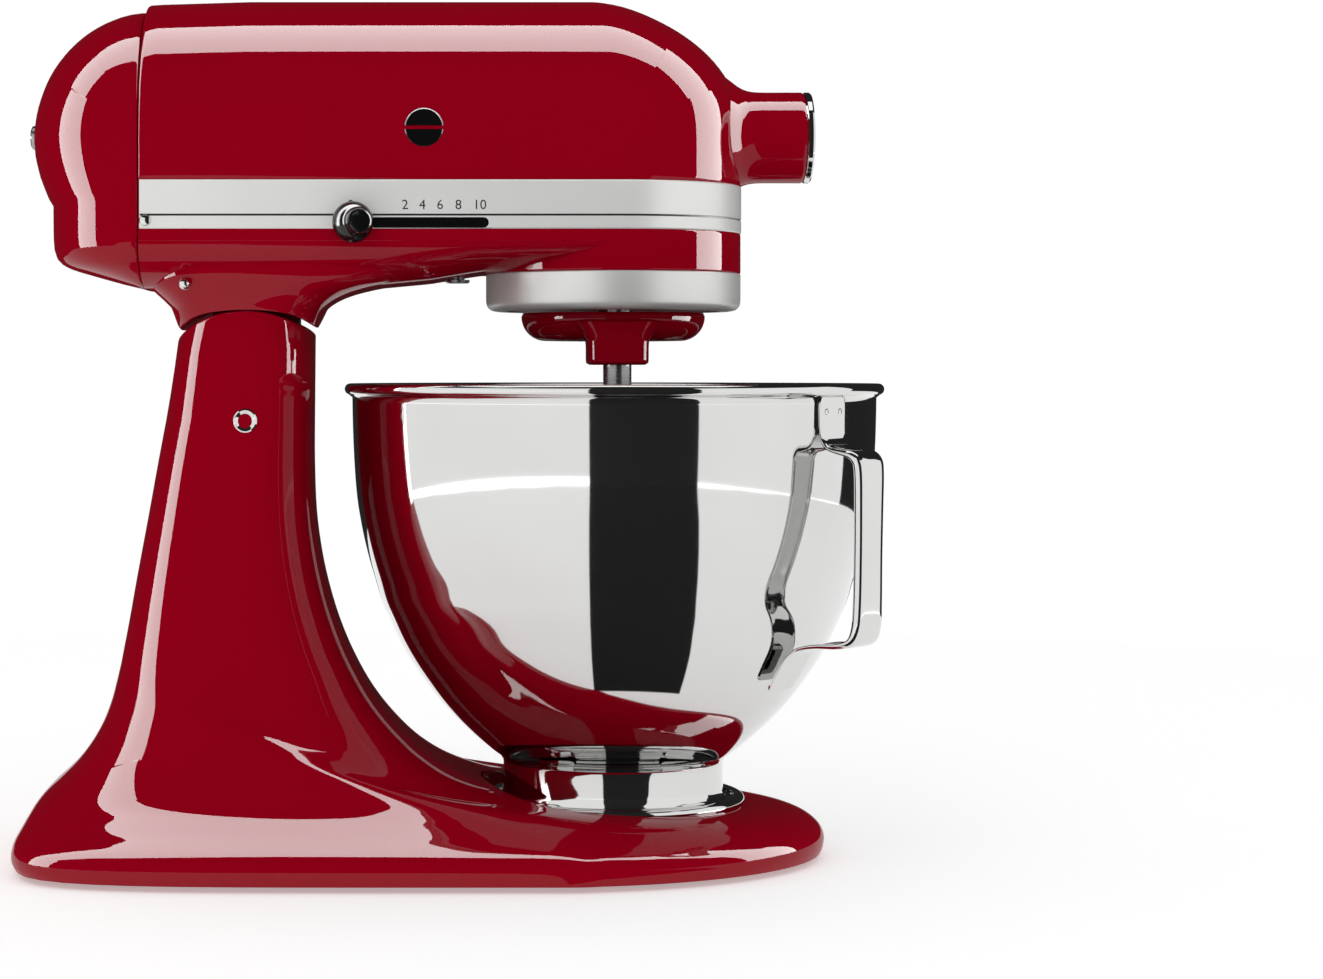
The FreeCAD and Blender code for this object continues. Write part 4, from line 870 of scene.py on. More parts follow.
@dataclass
class Head:
    """Upper and lower housings, rear cap, trim band and what is screwed to them."""

    datum: Datum
    half: float = 52.7
    rear: float = -192.0
    spring_z: float = 294.0
    top_z: float = 353.0
    band_low: float = 256.7
    band_top: float = 276.2
    crease_z: float = 252.0
    gearcase_low: float = 240.3
    drive_z: float = 296.9
    pin_x: float = -149.9
    pin_z: float = 180.2
    neck_arc: float = 46.4
    wall: float = 3.0
    brush_x: float = -78.4
    slot_x: Point = (-112.5, -52.6)
    slot_z: Point = (257.0, 261.2)
    groove_z: float = 262.2
    nose: tuple[Point, ...] = ((-10, 353), (4, 350.7), (16, 346.2), (28.7, 339.2), (39, 330.9),
                               (46.6, 321.5),
                               (51.2, 311.5), (52.6, 302), (52.7, 294))
    back: tuple[Point, ...] = ((-193, 348.2), (-202, 346.9), (-208.5, 344.5), (-214.7, 341.3),
                               (-220.9, 336.8),
                               (-227.2, 330.4), (-233.0, 322), (-236.9, 312.7), (-239.1, 304),
                               (-239.9, 295))
    # half width of the tub at each height
    flank: tuple[Point, ...] = ((233.5, 26.0), (234.2, 30.5), (236, 36.0), (238, 40.6), (240.5, 45.2),
                                (243, 48.4), (246, 50.7), (249, 52.1), (252, 52.6))
    # height of the tub's underside along X
    under: tuple[Point, ...] = ((-192, 233.6), (-150, 233.6), (-101, 234.6), (-76, 236.9), (-62, 239.2),
                                (-54, 240.4), (0, 240.4))
    # how far the rear cap reaches behind the seam at each height
    chin: tuple[Point, ...] = ((233.7, 1.5), (235.9, 11), (238.8, 21.5), (241.7, 31.5), (243.6, 35.6),
                               (246.3, 38.2),
                               (250, 39.3), (254.6, 39.7), (268, 39.8), (271.2, 41.8), (279.5, 45.1),
                               (287.8, 47.2), (295, 47.9))

    def plan_row(self, half: float, front: float, centre: float, z_side: float, z_front: float,
                 rear: float) -> list[Point]:
        """One row round the head, from the rear on the +Y side over the nose to the rear on -Y."""
        stations = [rear, rear + 0.4, rear + 1.2, rear + 6, -150, -120, -90, -60, -30]
        row = [(x, half, z_side) for x in stations]
        for i in range(49):
            angle = math.pi / 2 - math.pi * i / 48
            c, s = max(math.cos(angle), 0.0), math.sin(angle)
            row.append((centre + (front - centre) * c, half * s, z_front * c * c + z_side * s * s))
        return row + [(x, -half, z_side) for x in reversed(stations)]

    def upper(self) -> bpy.types.Object:
        """Upper housing: an arched body that ends in a rounded nose.

        Returns:
            The object that it makes.
        """
        count = 30
        nose = resampled(through(self.nose, 6), count)
        rise = self.top_z - self.spring_z
        arch = [(self.half * math.cos(math.radians(90 - 1.5 * i)), self.spring_z
                 + rise * math.sin(math.radians(90 - 1.5 * i))) for i in range(61)]
        side = resampled(arch, count)
        rows = []
        for k in range(count):
            share = k / (count - 1)
            rows.append(self.plan_row(side[k][0], nose[k][0], -10 * (1 - share), side[k][1], nose[k][1],
                                      self.rear))
        for z in (290, 284, 279, 276.9, 276.4):
            inset = 0.35 if z < 276.5 else 0.0
            rows.append(self.plan_row(self.half - inset, self.half - inset, 0.0, z, z, self.rear))
        rows.append(self.plan_row(self.half - 0.6, self.half - 0.6, 0.0, 275.6, 275.6, self.rear))
        rows.append(self.plan_row(self.half - 0.6, self.half - 0.6, 0.0, 266.2, 266.2, self.rear))
        out = []
        for row in rows:
            out.append([self.rear_eased(*p) for p in row])
        skin = grid("upper_skin", out, closed=False, cap=False, crease=40.0)
        return walled(skin, self.wall)

    def rear_eased(self, x: float, y: float, z: float) -> Vector:
        """Rounds the rear edge of the upper housing and lets its top fall a little towards it."""
        fall = max(0.0, (-150 - x) / 42.0)
        z -= 1.5 * fall ** 2 * max(0.0, (z - self.spring_z) / (self.top_z - self.spring_z))
        inset = {0: 0.7, 1: 0.25}.get(round((x - self.rear) / 0.4), 0.0)
        if inset:
            lift = z - self.spring_z
            z -= inset * (lift > 10) * min(1.0, lift / 50)
            y *= 1 - inset / self.half
        return self.datum.at(x, y, z)

    def hub(self) -> bpy.types.Object:
        """Round boss for attachments, faired into the nose.

        Returns:
            The object that it makes.
        """
        outer = through([(26.5, 44.5), (23.4, 48.6), (21.2, 51.6), (19.8, 54.4), (19.05, 57.6), (18.8, 62),
                         (18.8, 72),
                         (18.8, 77.8)], 5)
        profile = outer + [(18.4, 78.5), (16.8, 78.6), (16.8, 72), (15.5, 72), (15.5, 49), (11, 49),
                           (11, 43)]
        hub = lathe("hub_boss", profile, self.datum.at(0, 0, self.drive_z), Vector((1, 0, 0)), 128, 36.0)
        return hub

    def cap_row(self, half: float, reach: float, z_side: float, z_back: float) -> list[Vector]:
        """One row round the rear cap, from the seam on the +Y side to the seam on -Y."""
        seam = self.rear - 0.35
        row = []
        for x, inset in ((seam, 0.8), (seam - 0.3, 0.3), (seam - 0.9, 0.0)):
            row.append(self.datum.at(x, max(half - inset, 0.0), z_side - inset * 0.6 * (z_side > 300)))
        for i in range(1, 48):
            angle = math.pi / 2 + math.pi * i / 48
            c, s = abs(math.cos(angle)), math.sin(angle)
            x = seam - 0.9 - max(reach - 1.3, 0.0) * c ** 0.96
            y = half * math.copysign(abs(s) ** 0.96, s)
            row.append(self.datum.at(x, y, z_back * c * c + z_side * s * s))
        row += [Vector((p.x, -p.y, p.z)) for p in reversed(row[:3])]
        return row

    def rear_cap(self) -> bpy.types.Object:
        """Domed rear cap with an upright chin and a row of air slots underneath.

        Returns:
            The object that it makes.
        """
        count = 24
        half, top = self.half - 0.3, 348.4
        back = resampled(through(self.back, 5), count)
        arch = [(half * math.cos(math.radians(90 - 1.5 * i)), 295
                 + (top - 295) * math.sin(math.radians(90 - 1.5 * i))) for i in range(61)]
        side = resampled(arch, count)
        rows = []
        for k in range(count):
            rows.append(self.cap_row(side[k][0], self.rear - back[k][0], side[k][1], back[k][1]))
        z = 292.0
        while z > 233.8:
            width = half if z > self.crease_z else look_up(self.flank, z) - 0.3
            rows.append(self.cap_row(width, look_up(self.chin, z), z, z))
            z -= 1.0 if z < 256 or 266 < z < 273 else 3.0
        rows.append(self.cap_row(20.0, 0.8, 233.6, 233.6))
        rows.append(self.cap_row(0.0, 0.4, 233.5, 233.5))
        skin = grid("rear_cap_skin", rows, closed=False, cap=False, crease=40.0)
        cap = walled(skin, 2.4)
        slot = prism("slot", [Vector((x * MM, y * MM, 0)) for x, y in
                              ((-216, -1.4), (-200, -1.4), (-200, 1.4), (-216, 1.4))],
                              Vector((0, 0, 14 * MM)))
        places = [self.datum.at(0, y, 230) for y in (-24, -16, -8, 0, 8, 16)]
        return carved(cap, Repeat.places("air_slots", slot, places, ENAMEL.material()), 40.0, "FAST")

    def gearcase(self) -> bpy.types.Object:
        """Lower rim and round gearcase.

        Returns:
            The object that it makes.
        """
        rows = []
        for inset, z in ((0.6, 266.0), (0.6, 257.4), (0.3, 256.6), (0.0, 256.0), (0.0, 255.5),
                         (0.0, 252.5), (0.0, self.crease_z),
                         (1.0, 250.8), (6.0, 248.0)):
            half = self.half - inset
            rows.append([self.datum.at(*p) for p in self.plan_row(half, half, 0.0, z, z, self.rear)])
        rim = walled(grid("rim", rows, closed=False, cap=False, crease=40.0), self.wall)
        r, low = self.half, self.gearcase_low
        profile = [(44, low), (r - 0.8, low), (r - 0.3, low), (r, low + 0.4), (r, low + 1), (r, 255),
                   (r - self.wall, 255), (r - self.wall, low + 4), (44, low + 4)]
        return joined("gearcase", [rim, lathe("case", profile, self.datum.at(0, 0, 0), segments=192)], 40.0)

    def tub(self) -> bpy.types.Object:
        """Underside of the head, with flanks that curve in from the crease.

        Returns:
            The object that it makes.
        """
        lowest = self.flank[0][0]
        shares = [1 - i / 26 for i in range(27)]
        flank = through(self.flank, 4)
        rows = []
        for i in range(49):
            x = self.rear + (2 - self.rear) * i / 48
            low = look_up(self.under, x)
            side = [(look_up(flank, lowest + (self.crease_z - lowest) * share),
                     low + (self.crease_z - low) * share)
                    for share in shares]
            ring = [(0.0, 250.0)] + side + [(0.0, low)] + [(-w, z) for w, z in reversed(side)]
            rows.append([self.datum.at(x, y, z) for y, z in ring])
        return grid("tub", rows, crease=30.0)

    def neck(self) -> bpy.types.Object:
        """Neck that flares into the tub, hollowed by the arc over the pedestal's top.

        Returns:
            The object that it makes.
        """
        levels = through(((218.5, -122.6, -178.7, 44.0), (221.5, -121.9, -179.7, 44.1),
                          (225, -119.6, -181.6, 44.5),
                          (228.5, -115.2, -184.9, 45.1), (231.5, -108.5, -188.2, 45.9),
                          (234, -99, -190.8, 46.8),
                          (236.5, -86, -191.6, 47.7), (240, -72, -191.8, 48.4), (245, -58, -191.8, 48.2)),
                          4)
        rows = []
        base = self.outline(levels[0])
        for share in (1e-4, 0.2, 0.4, 0.6, 0.8, 0.92):
            rows.append([(-150.6 + (x + 150.6) * share, y * share, None) for x, y in base])
        rows.append([(x, y, None) for x, y in self.outline(levels[0], 0.7)])
        rows.append([(x, y, 0.3) for x, y in self.outline(levels[0], 0.15)])
        for k, level in enumerate(levels):
            lift = max(0.0, 1 - k / 9)
            rows.append([(x, y, (level[0], lift)) for x, y in self.outline(level)])
        placed = []
        for row in rows:
            line = []
            for x, y, z in row:
                under = self.pin_z + math.sqrt(max(self.neck_arc ** 2 - (x - self.pin_x) ** 2, 36.0 ** 2))
                if z is None:
                    z = under
                elif isinstance(z, tuple):
                    z = z[0] * (1 - z[1]) + (under + 0.8) * z[1]
                else:
                    z = under + z
                line.append(self.datum.at(x, y, z))
            placed.append(line)
        return grid("neck", placed, crease=38.0)

    @staticmethod
    def outline(level: Point, inset: float = 0.0, around: int = 120) -> list[Point]:
        """Rounded rectangle of the neck at one height, as (x, y) points."""
        _, front, rear, half = level
        middle = -150.6
        points = []
        for i in range(around):
            angle = 2 * math.pi * i / around
            c, s = math.cos(angle), math.sin(angle)
            reach = (front - middle if c > 0 else middle - rear) - inset
            r = (abs(c / reach) ** 3.2 + abs(s / (half - inset)) ** 3.2) ** (-1 / 3.2)
            points.append((middle + r * c, r * s))
        return points

    def lug(self) -> bpy.types.Object:
        """Lug that reaches down round the hinge pin.

        Returns:
            The object that it makes.
        """
        outline = arc((self.pin_x, self.pin_z), 15.0, 180, 360, 24)
        outline += [(self.pin_x + 15, 197.2), (-130.2, 197.2), (-130.2, 231), (self.pin_x - 15, 231)]
        at = self.datum.at
        lug = prism("lug", [at(x, -16, z) for x, z in outline], Vector((0, 32 * MM, 0)))
        hole = lathe("hole", [(0, -20), (6.4, -20), (6.4, 20), (0, 20)], at(self.pin_x, 0, self.pin_z),
                     Vector((0, 1, 0)), 64)
        return carved(lug, hole)

    def band(self) -> bpy.types.Object:
        """Trim band round both sides and the nose, with a fine groove and the speed slot.

        Returns:
            The object that it makes.
        """
        low, top, groove = self.band_low, self.band_top, self.groove_z
        section = [(-1.0, low), (-0.1, low), (0.3, low + 0.5), (0.3, groove - 0.45), (-0.1, groove - 0.35),
                   (-0.1, groove + 0.35), (0.3, groove + 0.45), (0.3, top - 0.5), (-0.1, top), (-1.0, top)]
        rows = []
        for proud, z in section:
            half = self.half + proud
            rows.append([self.datum.at(*p) for p in self.plan_row(half, half, 0.0, z, z, self.rear + 0.5)])
        columns = [list(column) for column in zip(*rows)]
        band = grid("trim_band_brushed", columns, crease=30.0)
        (x0, x1), (z0, z1) = self.slot_x, self.slot_z
        radius = (z1 - z0) / 2
        ends = arc((x1 - radius, z0 + radius), radius, -90, 90, 8) + arc((x0 + radius, z0 + radius),
                                                                         radius, 90, 270, 8)
        cutter = prism("slot", [self.datum.at(x, -60, z) for x, z in ends], Vector((0, 9 * MM, 0)))
        return carved(band, cutter, 30.0)

    def slot_liner(self) -> bpy.types.Object:
        """Dark strip behind the speed slot: painted shade where the slot opens into the housing.

        Returns:
            The object that it makes.
        """
        (x0, x1), (z0, z1) = self.slot_x, self.slot_z
        outline = [(x0 - 1, z0 - 0.2), (x1 + 1, z0 - 0.2), (x1 + 1, z1 + 0.2), (x0 - 1, z1 + 0.2)]
        return prism("speed_slot_liner", [self.datum.at(x, -self.half - 0.08, z) for x, z in outline],
                     Vector((0, 0.8 * MM, 0)))

    def groove_ink(self) -> bpy.types.Object:
        """Dark fill in the band's groove: painted shade where the groove lies in shadow.

        Returns:
            The object that it makes.
        """
        section = [(-0.4, -0.32), (-0.02, -0.32), (-0.02, 0.32), (-0.4, 0.32)]
        rows = []
        for proud, dz in section:
            half = self.half + proud
            z = self.groove_z + dz
            rows.append([self.datum.at(*p) for p in self.plan_row(half, half, 0.0, z, z, self.rear + 0.8)])
        return grid("band_groove_paint", [list(column) for column in zip(*rows)], crease=30.0)

    def numbers(self) -> bpy.types.Object:
        """Printed speed numbers above the slot.

        Returns:
            The object that it makes.
        """
        marks = (("0", -107.5), ("2", -85.9), ("4", -79.0), ("6", -72.0), ("8", -64.7), ("10", -56.2))
        pieces = []
        for text, x in marks:
            curve = bpy.data.curves.new("mark_" + text, "FONT")
            curve.body = text
            curve.align_x = "CENTER"
            curve.size = 5.4 * MM
            curve.extrude = 0.02 * MM
            curve.resolution_u = 4
            holder = bpy.data.objects.new("mark", curve)
            bpy.context.scene.collection.objects.link(holder)
            bpy.context.view_layer.update()
            mesh = bpy.data.meshes.new_from_object(holder.evaluated_get(bpy.context.evaluated_depsgraph_get()))
            mesh.transform(Matrix.Translation(self.datum.at(x, -self.half - 0.31, 264.4))
                           @ Matrix.Rotation(math.pi / 2, 4, "X"))
            bpy.data.objects.remove(holder)
            pieces.append(finished("mark_" + text, mesh))
        return joined("speed_numbers", pieces)

    def band_screws(self) -> bpy.types.Object:
        """Small domed screws at the band's rear ends.

        Returns:
            The object that it makes.
        """
        pieces = []
        for side in (-1, 1):
            profile = [(0, -1.0), (2.4, -1.0), (2.4, 0.1), (2.0, 0.8), (1.1, 1.25), (0, 1.4)]
            pieces.append(lathe("screw", profile, self.datum.at(-189.2, side * (self.half + 0.3), 260.0),
                                Vector((0, side, 0)), 32))
        return joined("band_screws_domed", pieces)

    def drip_ring(self) -> bpy.types.Object:
        """Turned ring under the gearcase with a rolled lower edge.

        Returns:
            The object that it makes.
        """
        edge = through([(52.7, 229.2), (52.2, 226.9), (50.6, 225.3), (48.2, 224.75)], 5)
        profile = [(50.4, 240.2), (52.3, 240.2), (52.7, 239.8)] + edge
        profile += [(44.2, 224.75), (44.2, 226.2), (48.6, 226.4), (50.4, 228.6)]
        return lathe("drip_ring_turned", profile, self.datum.at(0, 0, 0), segments=192)

    def brush_caps(self) -> bpy.types.Object:
        """Slotted screw caps over the motor's brushes, one each side.

        Returns:
            The object that it makes.
        """
        pieces = []
        for side in (-1, 1):
            at = self.datum.at(self.brush_x, side * 49.9, self.drive_z)
            profile = [(0, 0), (6.3, 0), (6.3, 1.4), (7.75, 1.4), (7.75, 2.7), (7.3, 3.2), (0, 3.3)]
            cap = lathe("cap", profile, at, Vector((0, side, 0)), 72)
            slot = [self.datum.at(self.brush_x + x, side * 52.2, self.drive_z + z)
                    for x, z in ((-9, -0.75), (9, -0.75), (9, 0.75), (-9, 0.75))]
            pieces.append(carved(cap, prism("slot", slot, Vector((0, side * 4 * MM, 0)))))
        return joined("brush_caps_moulded", pieces)

    def cap_screw(self) -> bpy.types.Object:
        """Slotted screw at the middle of the rear cap.

        Returns:
            The object that it makes.
        """
        at = self.datum.at(-241.5, 0, self.drive_z)
        profile = [(0, 0), (3.6, 0), (4.7, 0.5), (5, 1.2), (5, 1.7), (2.5, 1.7), (2.5, 9), (0, 9)]
        screw = lathe("rear_cap_screw_turned", profile, at, Vector((1, 0, 0)), 48)
        slot = [self.datum.at(-242.5, y, self.drive_z + z) for y,
                z in ((-6, -0.6), (6, -0.6), (6, 0.6), (-6, 0.6))]
        return carved(screw, prism("slot", slot, Vector((1.8 * MM, 0, 0))))

    def gland(self) -> bpy.types.Object:
        """Rubber gland where the mains lead would come in."""
        profile = [(3.6, 0), (6.2, 0), (7, 0.6), (7, 1.7), (5.4, 2.3), (5.4, 9), (3.6, 9)]
        return lathe("cord_gland_moulded", profile, self.datum.at(-234.1, 20, 262), Vector((1, 0, 0)), 48)

    def plug(self) -> bpy.types.Object:
        """Round plug under the tub."""
        profile = [(0, 1.0), (2.4, 0.8), (3.0, 0.1), (4.4, 0), (5, 0.4), (5, 1.4), (2.9, 1.4), (2.9, 6),
                   (0, 6)]
        return lathe("underside_plug_turned", profile, self.datum.at(-64.5, 0, 236.5), segments=48)

    def build(self) -> None:
        """Makes and dresses the head's pieces."""
        upper = joined("upper_housing_skin", [self.upper(), self.hub()], 40.0)
        dressed(upper, ENAMEL, Body.HEAD, "upper_housing")
        lower = joined("lower_housing_skin", [self.gearcase(), self.tub(), self.neck(), self.lug()], 38.0)
        dressed(lower, ENAMEL, Body.HEAD, "lower_housing")
        cap = self.rear_cap()
        cap.name = "rear_cap_shell"
        dressed(cap, ENAMEL, Body.HEAD, "rear_cap")
        dressed(self.band(), BRUSHED_ALUMINIUM, Body.HEAD, "trim_band")
        # painted shade: a dark strip behind the speed slot
        dressed(self.slot_liner(), BLACK_ABS_AND_SLOT_SHADE, Body.HEAD)
        # painted shade: a dark fill in the band's groove
        dressed(self.groove_ink(), INK_AND_GROOVE_SHADE, Body.HEAD)
        dressed(self.numbers(), INK_AND_GROOVE_SHADE, Body.HEAD)
        dressed(self.band_screws(), POLISHED_STEEL, Body.HEAD, "band_screws")
        dressed(self.drip_ring(), SATIN_ALUMINIUM, Body.HEAD, "drip_ring")
        dressed(self.brush_caps(), BLACK_ABS_AND_SLOT_SHADE, Body.HEAD, "brush_caps")
        dressed(self.cap_screw(), GROUND_STEEL, Body.HEAD, "rear_cap_screw")
        dressed(self.gland(), NITRILE, Body.HEAD, "cord_gland")
        dressed(self.plug(), GROUND_STEEL, Body.HEAD, "underside_plug")


@dataclass
class Controls:
    """Speed knob, lock lever, attachment thumbscrew and the hub's cover."""

    datum: Datum
    lever_x: float = -108.0
    lever_z: float = 259.0
    lock_x: float = -174.0
    lock_z: float = 235.0
    drive_z: float = 296.9

    def speed_knob(self) -> bpy.types.Object:
        """Round knob that leans forward out of the slot.

        Returns:
            The object that it makes.
        """
        lean = math.radians(17)
        along = Vector((math.sin(lean), -math.cos(lean), 0))
        outer = through([(5.4, 1.2), (7.4, 2.2), (8.2, 4.2), (8.1, 6.6), (7.0, 9.2), (5.5, 10.9),
                         (5.05, 12.6),
                         (4.95, 14.8)], 5)
        profile = [(0, 1.2)] + outer + [(4.6, 15.9), (4.0, 16.2), (3.2, 15.9), (0, 15.8)]
        return lathe("speed_knob_moulded", profile, self.datum.at(self.lever_x, -53.3, self.lever_z),
                     along, 72)

    def lock_lever(self) -> bpy.types.Object:
        """Flat arm with a round knob, pressed on the lock's shaft.

        Returns:
            The object that it makes.
        """
        y = 46.0
        rows = []
        for k, inset in ((0.0, 0.5), (0.5, 0.0), (3.5, 0.0), (4.0, 0.5)):
            ring = arc((0, 0), 5.4 - inset, 90, 270, 16) + arc((24, 0), 4.0 - inset, -90, 90, 12)
            rows.append([(x, k, z) for x, z in ring])
        angle = math.radians(-20)
        c, s = math.cos(angle), math.sin(angle)
        arm = grid("arm", [[self.datum.at(self.lock_x + x * c - z * s, y + k, self.lock_z + x * s + z * c)
                            for x, k, z in row] for row in rows])
        tip = self.datum.at(self.lock_x + 24 * c, y, self.lock_z + 24 * s)
        outer = through([(4.6, 2.0), (5.6, 4.4), (6.0, 7.4), (5.4, 10.4), (3.4, 11.8)], 5)
        knob = lathe("knob", [(0, 2.0)] + outer + [(0, 12.0)], tip, Vector((0, 1, 0)), 48)
        return joined("lock_lever_moulded", [arm, knob])

    def lock_end(self) -> bpy.types.Object:
        """Domed end of the lock's shaft on the far side from its lever."""
        profile = [(0, 0), (2.3, 0), (2.3, 3.4), (1.9, 4.3), (1.1, 4.9), (0, 5.1)]
        return lathe("lock_shaft_end", profile, self.datum.at(self.lock_x, -43.6, self.lock_z),
                     Vector((0, -1, 0)), 32)

    def thumbscrew(self) -> bpy.types.Object:
        """Fluted thumbscrew on the side of the hub.

        Returns:
            The object that it makes.
        """
        at = self.datum.at(66, 21, self.drive_z)
        outer = through([(8.6, 0), (9.4, 1.2), (9.5, 6.5), (9.3, 11.5), (8.0, 12.8)], 4)
        knob = lathe("knob", [(0, 0)] + outer + [(5.0, 12.6), (4.6, 12.2), (0, 12.2)], at,
                     Vector((0, 1, 0)), 96)
        flute = lathe("flute", [(0, -2), (2.2, -2), (2.2, 16), (0, 16)], Vector((0, 0, 0)), segments=20)
        place = Matrix.Translation(at) @ Matrix.Rotation(-math.pi / 2, 4, "X")
        flutes = Repeat.ring("flutes", flute, 8, 10.9, BLACK_ABS_AND_SLOT_SHADE.material(), place)
        knob = carved(knob, flutes)
        stem = lathe("stem", [(0, -5), (2.95, -5), (2.95, 0.5), (0, 0.5)], at, Vector((0, 1, 0)), 32)
        return joined("attachment_thumbscrew", [knob, stem])

    def hub_cover(self) -> bpy.types.Object:
        """Plated cover with a raised rim round a shallow dish."""
        profile = [(15.7, -6.0), (16.7, -6.0), (16.7, 0.0), (18.4, 0.0), (18.8, 0.4), (18.8, 2.1),
                   (18.2, 2.8),
                   (17.0, 3.0), (15.6, 2.8), (14.6, 2.0), (9.0, 1.7), (0, 1.7), (0, 0.0), (15.7, 0.0)]
        return lathe("hub_cover_plated", profile, self.datum.at(78.9, 0, self.drive_z), Vector((1, 0, 0)),
                     128)

    def build(self) -> None:
        """Makes and dresses the controls."""
        dressed(self.speed_knob(), BLACK_ABS_AND_SLOT_SHADE, Body.SPEED, "speed_knob")
        dressed(self.lock_lever(), BLACK_ABS_AND_SLOT_SHADE, Body.LOCK, "lock_lever")
        dressed(self.lock_end(), POLISHED_STEEL, Body.LOCK)
        dressed(self.thumbscrew(), BLACK_ABS_AND_SLOT_SHADE, Body.KNOB, "attachment_knob")
        dressed(self.hub_cover(), POLISHED_STEEL, Body.HUB_COVER, "hub_cover")


# ---------------------------------------------------------------- planetary and beater shaft


@dataclass
class Planetary:
    """Rotating casting under the head, and the beater shaft that it carries."""

    datum: Datum
    offset: float = 28.0
    low: float = 212.6
    top: float = 224.0
    reach: float = 38.0
    boss_low: float = 202.6
    boss_half: float = 12.4

    def dish(self) -> bpy.types.Object:
        """Round body with large rounded lower corners.

        Returns:
            The object that it makes.
        """
        profile = [(0, self.low), (26, self.low)] + arc((28, 222.6), 10.0, -90, 0, 14)[1:]
        profile += [(37.4, self.top), (6.1, self.top), (6.1, 218), (0, 218)]
        return lathe("dish", profile, self.datum.at(0, 0, 0), segments=128)

    def boss(self) -> bpy.types.Object:
        """Square-shouldered boss round the beater shaft.

        Returns:
            The object that it makes.
        """
        rows = []
        levels = through(((self.boss_low, 1.4, 0), (self.boss_low + 0.5, 0.6, 0),
                          (self.boss_low + 1.4, 0.0, 0),
                          (210.5, -0.1, 0), (213, -0.6, 0.8), (216, -2.4, 2.6), (220, -5.4, 5.0)), 4)
        for z, inset, _ in levels:
            row = []
            for i in range(64):
                angle = 2 * math.pi * i / 64
                c, s = math.cos(angle), math.sin(angle)
                power = 4.2
                wide = self.boss_half - inset
                deep = self.boss_half - max(inset, 0.0)
                r = (abs(c / wide) ** power + abs(s / deep) ** power) ** (-1 / power)
                row.append(self.datum.at(r * c, -self.offset + r * s * (1.0 if s < 0 else 1.6), z))
            rows.append(row)
        boss = grid("boss", rows, crease=36.0)
        bore = lathe("bore", [(0, 195), (5.9, 195), (5.9, 230), (0, 230)],
                     self.datum.at(0, -self.offset, 0),
                     segments=48)
        return carved(boss, bore, 36.0)

    def shaft(self) -> bpy.types.Object:
        """Beater shaft with a rounded end and a waist at its cross pin."""
        profile = [(0, 165), (4.9, 165), (5.75, 166), (5.75, 185.6), (5.55, 185.8), (5.55, 190.2),
                   (5.75, 190.4),
                   (5.75, 235.5), (0, 235.5)]
        return lathe("beater_shaft_ground", profile, self.datum.at(0, -self.offset, 0), segments=64)

    def cross_pin(self) -> bpy.types.Object:
        """Cross pin with domed ends.

        Returns:
            The object that it makes.
        """
        end = [(2.4, 9.2), (2.0, 9.75), (1.2, 10.0), (0, 10.0)]
        profile = [(r, -h) for r, h in reversed(end)] + end
        return lathe("beater_pin_ground", profile, self.datum.at(0, -self.offset, 188), Vector((1, 0, 0)),
                     32)

    def build(self) -> None:
        """Makes and dresses the planetary's pieces."""
        casting = joined("planetary_casting_skin", [self.dish(), self.boss()], 36.0)
        dressed(casting, ENAMEL, Body.PLANETARY, "planetary_casting")
        dressed(self.shaft(), GROUND_STEEL, Body.BEATER, "beater_shaft")
        dressed(self.cross_pin(), GROUND_STEEL, Body.BEATER, "beater_pin")


# ---------------------------------------------------------------- bowl


